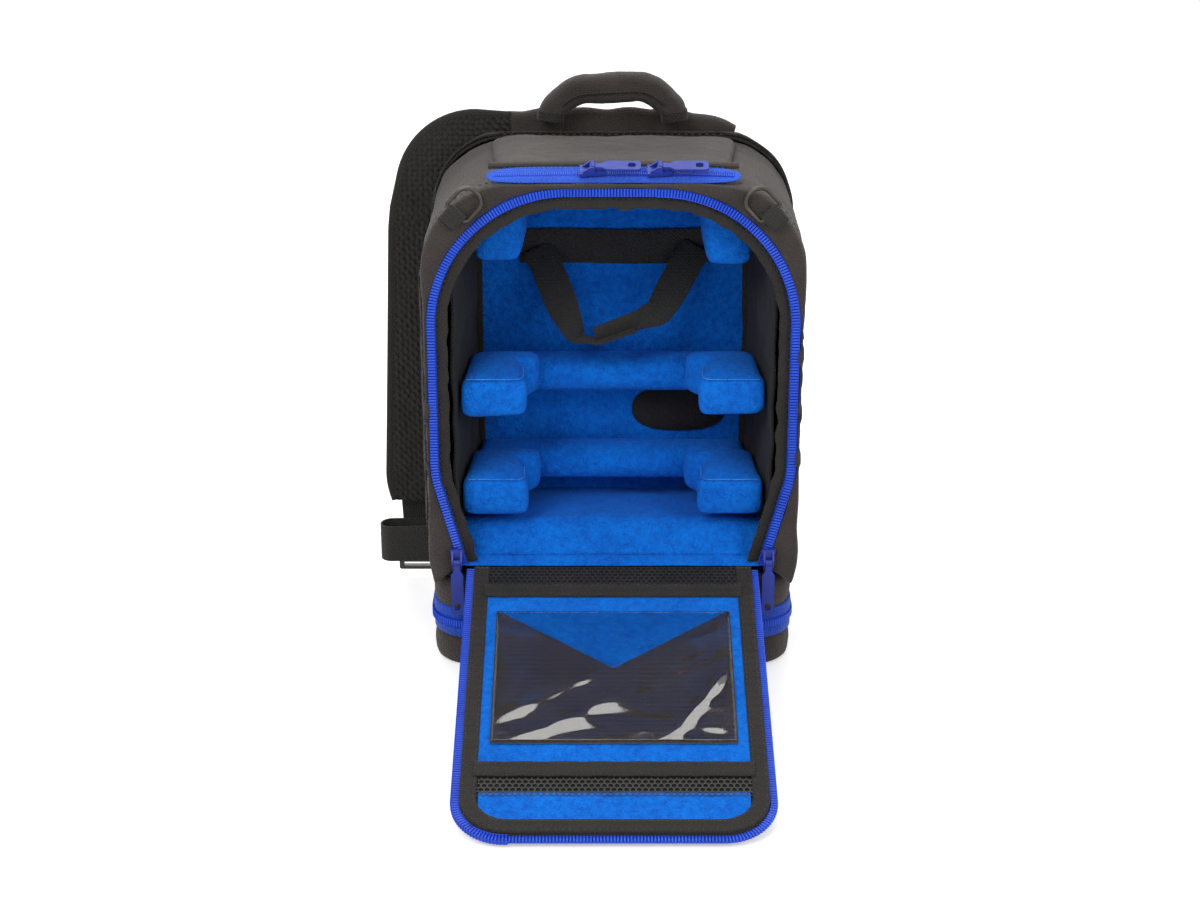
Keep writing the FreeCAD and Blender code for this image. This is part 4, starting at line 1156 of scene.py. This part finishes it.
gunmetal = glossy("gunmetal", (46, 43, 39), (92, 87, 80), 0.32, grain=400, bump=0.05,
                  metal=0.75)
for sign, side in both_sides:
    turn = -sign * math.radians(43)
    base = Vector((sign * 121, -81.65, 388))

    def on_ring(across, up, out=0.0):
        return base + Vector((across * math.cos(turn) + up * math.sin(turn), out,
                              up * math.cos(turn) - across * math.sin(turn)))
    bend = [(on_ring(-10.6, 0), 2.5), (on_ring(-10.6, 23.2), 9.5), (on_ring(10.6, 23.2), 9.5),
            (on_ring(10.6, 0), 2.5), (on_ring(0, 0), 0)]
    wire = spaced(rounded_path(bend[-1:] + bend[:-1], 0.8, closed=True), 121)[:-1]
    piece(f"{side}_ring", tube(wire, 1.8, closed=True), f"{side}_ring", gunmetal,
          [f"{side}_ring"])
    fold = [(on_ring(0, -13, 2.6), 0), (on_ring(0, 3.2, 2.6), 2.4), (on_ring(0, 3.2, -2.6), 2.4),
            (on_ring(0, -11, -2.6), 0)]
    tab_marks = spaced(rounded_path(fold, 0.6), 40)
    across_tab = on_ring(1, 0) - on_ring(0, 0)
    piece(f"{side}_ring_tab", ribbon(tab_marks, across_tab, 15, 1.5, 0.5, rows=2), "bag",
          black_webbing, ["ring_tabs"])
    stitches(f"{side}_tab_stitches", [on_ring(-6 + 12 * i / 10, -6, -3.6) for i in range(11)],
             front, 1.8, 1.2, 0.6)


# ---------------------------------------------------------------- carry handle and yoke
# A foam-filled twill sleeve bowed over the back edge, its ends stitched into the
# padded yoke that also carries the shoulder straps.

def sides_of(marks):
    """The across direction at each point of a line that lies in a plane facing Y."""
    return [heading(marks, index).cross(Vector((0, 1, 0))).normalized()
            for index in range(len(marks))]


bow = [(Vector((-51.5, 67.4, 426.5)), 0), (Vector((-49.5, 67.4, 438)), 12),
       (Vector((-30, 67.4, 453)), 30), (Vector((30, 67.4, 456)), 30),
       (Vector((49.5, 67.4, 438)), 12), (Vector((51.5, 67.4, 426.5)), 0)]
bow_marks = spaced(rounded_path(bow, 2), 90)
bow_widths = [21 + 5.0 * math.sin(math.pi * i / 89) for i in range(90)]
handle = ribbon(bow_marks, sides_of(bow_marks), bow_widths, 18.6, 5.0, rows=3)
ruffle(handle, 1.0, 13, 41)
ruffle(handle, 0.5, 5, 43)
smoothed(piece("carry_handle", handle, "handle", outer_fabric,
                         ["carry_handle"]))
for name, depth in (("front", 56.9), ("back", 77.9)):
    marks = [Vector((mark.x * 0.99, depth, mark.z - 2)) for mark in bow_marks[14:76]]
    piece(f"handle_{name}_seam", ribbon(marks, (0, 0, 1), 1.4, 1.6, 0.5, rows=1), "handle",
          black_binding)
for sign, side in both_sides:
    cuff = [Vector((sign * 51.2, 67.4, 427.6)), Vector((sign * 50.2, 67.4, 436))]
    piece(f"handle_{side}_cuff",
          ribbon(spaced(cuff, 10), (1, 0, 0.1), 22.4, 19.2, 5, rows=2), "handle",
          black_binding)

yoke_marks = []
for index in range(61):
    fall = 9.0 if index > 30 else 1.5
    level = 415.5 - fall * abs(index / 30 - 1) ** 2.5 + 0.8 * math.sin(index * 0.6)
    yoke_marks.append(Vector((-99 + 198 * index / 60, 84.5, level)))
yoke = ribbon(yoke_marks, (0, 0, 1), [37 - 9 * abs(i / 30 - 1) ** 6 for i in range(61)],
              [11.5 - 4 * abs(i / 30 - 1) ** 8 for i in range(61)], 4, rows=4)
ruffle(yoke, 1.0, 24, 45)
piece("strap_yoke", yoke, "bag", outer_fabric, ["strap_yoke"])
for level in (402.5, 427.5):
    stitches(f"yoke_stitches_{int(level)}",
             [Vector((-70 + 140 * i / 40, 90.4, level)) for i in range(41)], (0, 1, 0),
             3, 2.2, 0.8)


# ---------------------------------------------------------------- shoulder straps
# Curved foam pads faced with open spacer mesh towards the wearer and bound at the
# edges, hung from the yoke; webbing loops out from the base to a ladder buckle.

air_knit = cloth("air_mesh", cloth_group("open_mesh", 230, 700, 60, 25), (5, 5, 5),
                 (52, 50, 47), 2.6, 0.05)
routes = {
    "left": ([((-84, 0, 413.5), 0), ((-148, 0, 411), 44), ((-158, 0, 330), 90),
              ((-169, 0, 80), 0)], 34, 61),
    "right": ([((70, 0, 394.5), 0), ((88, 0, 300), 60), ((104, 0, 80), 0)], 58, 60)}
for side, (route, first_width, width) in routes.items():
    body = f"{side}_strap"
    marks = spaced(rounded_path([(Vector(place), radius) for place, radius in route], 4), 100)
    widths = []
    for index, mark in enumerate(marks):
        bowed = 10 * math.sin(math.pi * min(1.0, max(0.0, (376 - mark.z) / 330)) * 0.62)
        mark.y = 79.2 + bowed
        widths.append(first_width + (width - first_width) * min(1, index / 30)
                      - 14 * max(0, (index - 92) / 8) ** 2)
    sides = sides_of(marks)
    pad_skin = ribbon([mark + Vector((0, 8.6, 0)) for mark in marks], sides, widths, 11, 4.5,
                      rows=5)
    ruffle(pad_skin, 1.0, 26, 51)
    piece(f"{side}_strap_pad", pad_skin, body, outer_fabric,
                    [f"{side}_strap_pad"])
    face_skin = ribbon([mark + Vector((0, 1.9, 0)) for mark in marks], sides,
                       [wide - 6 for wide in widths], 2.8, 0.8, rows=5)
    ruffle(face_skin, 0.4, 18, 53)
    piece(f"{side}_strap_air_mesh", face_skin, body, air_knit,
          [f"{side}_strap_air_mesh"])
    for name, sign in (("inner", -1), ("outer", 1)):
        rim = [mark + across * sign * (wide / 2 - 2.6) + Vector((0, 2.6, 0))
               for mark, across, wide in zip(marks, sides, widths)]
        piece(f"{side}_strap_{name}_binding", ribbon(rim, sides, 7.5, 4.6, 1.5, rows=1), body,
              black_binding)
        row = [mark + across * sign * (wide / 2 - 5.2) + Vector((0, 0.4, 0))
               for mark, across, wide in zip(marks, sides, widths)]
        stitches(f"{side}_strap_{name}_stitches", row, front, 3, 2.4, 0.8, body=body)

    hand = -1 if side == "left" else 1
    reach = 206 if side == "left" else 142
    foot = 170 if side == "left" else 104
    loop = [(Vector((hand * 60, 79.2, 44)), 0), (Vector((hand * (reach - 1), 79.2, 44)), 9.5),
            (Vector((hand * (reach - 1), 98.9, 44)), 9.5),
            (Vector((hand * (foot - 17), 98.9, 44)), 0)]
    loop_marks = spaced(rounded_path(loop, 1.5), 110)
    for index, mark in enumerate(loop_marks):
        mark.z += 1.4 * math.sin(index / 17)
    webbing = ribbon(loop_marks, (0, 0, 1), 33.5, 1.8, 0.6, rows=4)
    piece(f"{side}_lower_webbing", webbing,
          ("bag", body, (hand * reach, 82, 44), (hand * reach, 97, 44)), black_webbing,
          [f"{side}_lower_webbing"])
    tail_marks = [Vector((hand * foot + 0.6 * math.sin(i / 4), 101.3, 26.5 + 71 * i / 24))
                  for i in range(25)]
    piece(f"{side}_strap_tail", ribbon(tail_marks, (1, 0, 0), 33.5, 1.8, 0.6, rows=3), body,
          black_webbing, [f"{side}_strap_tail"])

buckle_resin = glossy("buckle_resin", (46, 44, 42), (84, 81, 77), 0.45, bump=0.08)
for side in ("left", "right"):
    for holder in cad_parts[f"{side}_ladder_buckle"].material_slots:
        holder.material = buckle_resin


# ---------------------------------------------------------------- side pieces
# A flat pocket face of spacer mesh on the left, bound along its top, and a short
# webbing tab stitched down at both ends on the right.

def side_pocket(across, up):
    depth = -49 + across * 98
    height = 111 + up * 213
    rim = min(1.0, across * 6, (1 - across) * 6, up * 10, 1.0)
    return (-151 - 2.6 * math.sqrt(max(0.0, rim)), depth, height)


pocket_face = bent_sheet(40, 80, side_pocket)
ruffle(pocket_face, 0.8, 22, 61)
thicken(piece("left_side_mesh", pocket_face, "bag", air_knit,
                       ["left_side_mesh"]), 1.4, 1)
rim_marks = [Vector((-153.2, -49 + 98 * i / 40, 324)) for i in range(41)]
piece("left_side_mesh_hem", ribbon(rim_marks, (0, 0, 1), 10, 2.2, rows=1), "bag",
      black_binding)
tab_marks = [Vector((152.3 + 0.5 * math.sin(i / 3), -18, 107.5 + 70 * i / 30))
             for i in range(31)]
piece("right_side_tab", ribbon(tab_marks, (0, 1, 0), 29.5, 2.2, rows=3), "bag", black_webbing,
      ["right_side_tab"])
for level in (111, 174):
    stitches(f"right_tab_stitches_{level}",
             [Vector((153.8, -31 + 26 * i / 10, level)) for i in range(11)], (1, 0, 0),
             2.4, 1.8, 0.7)
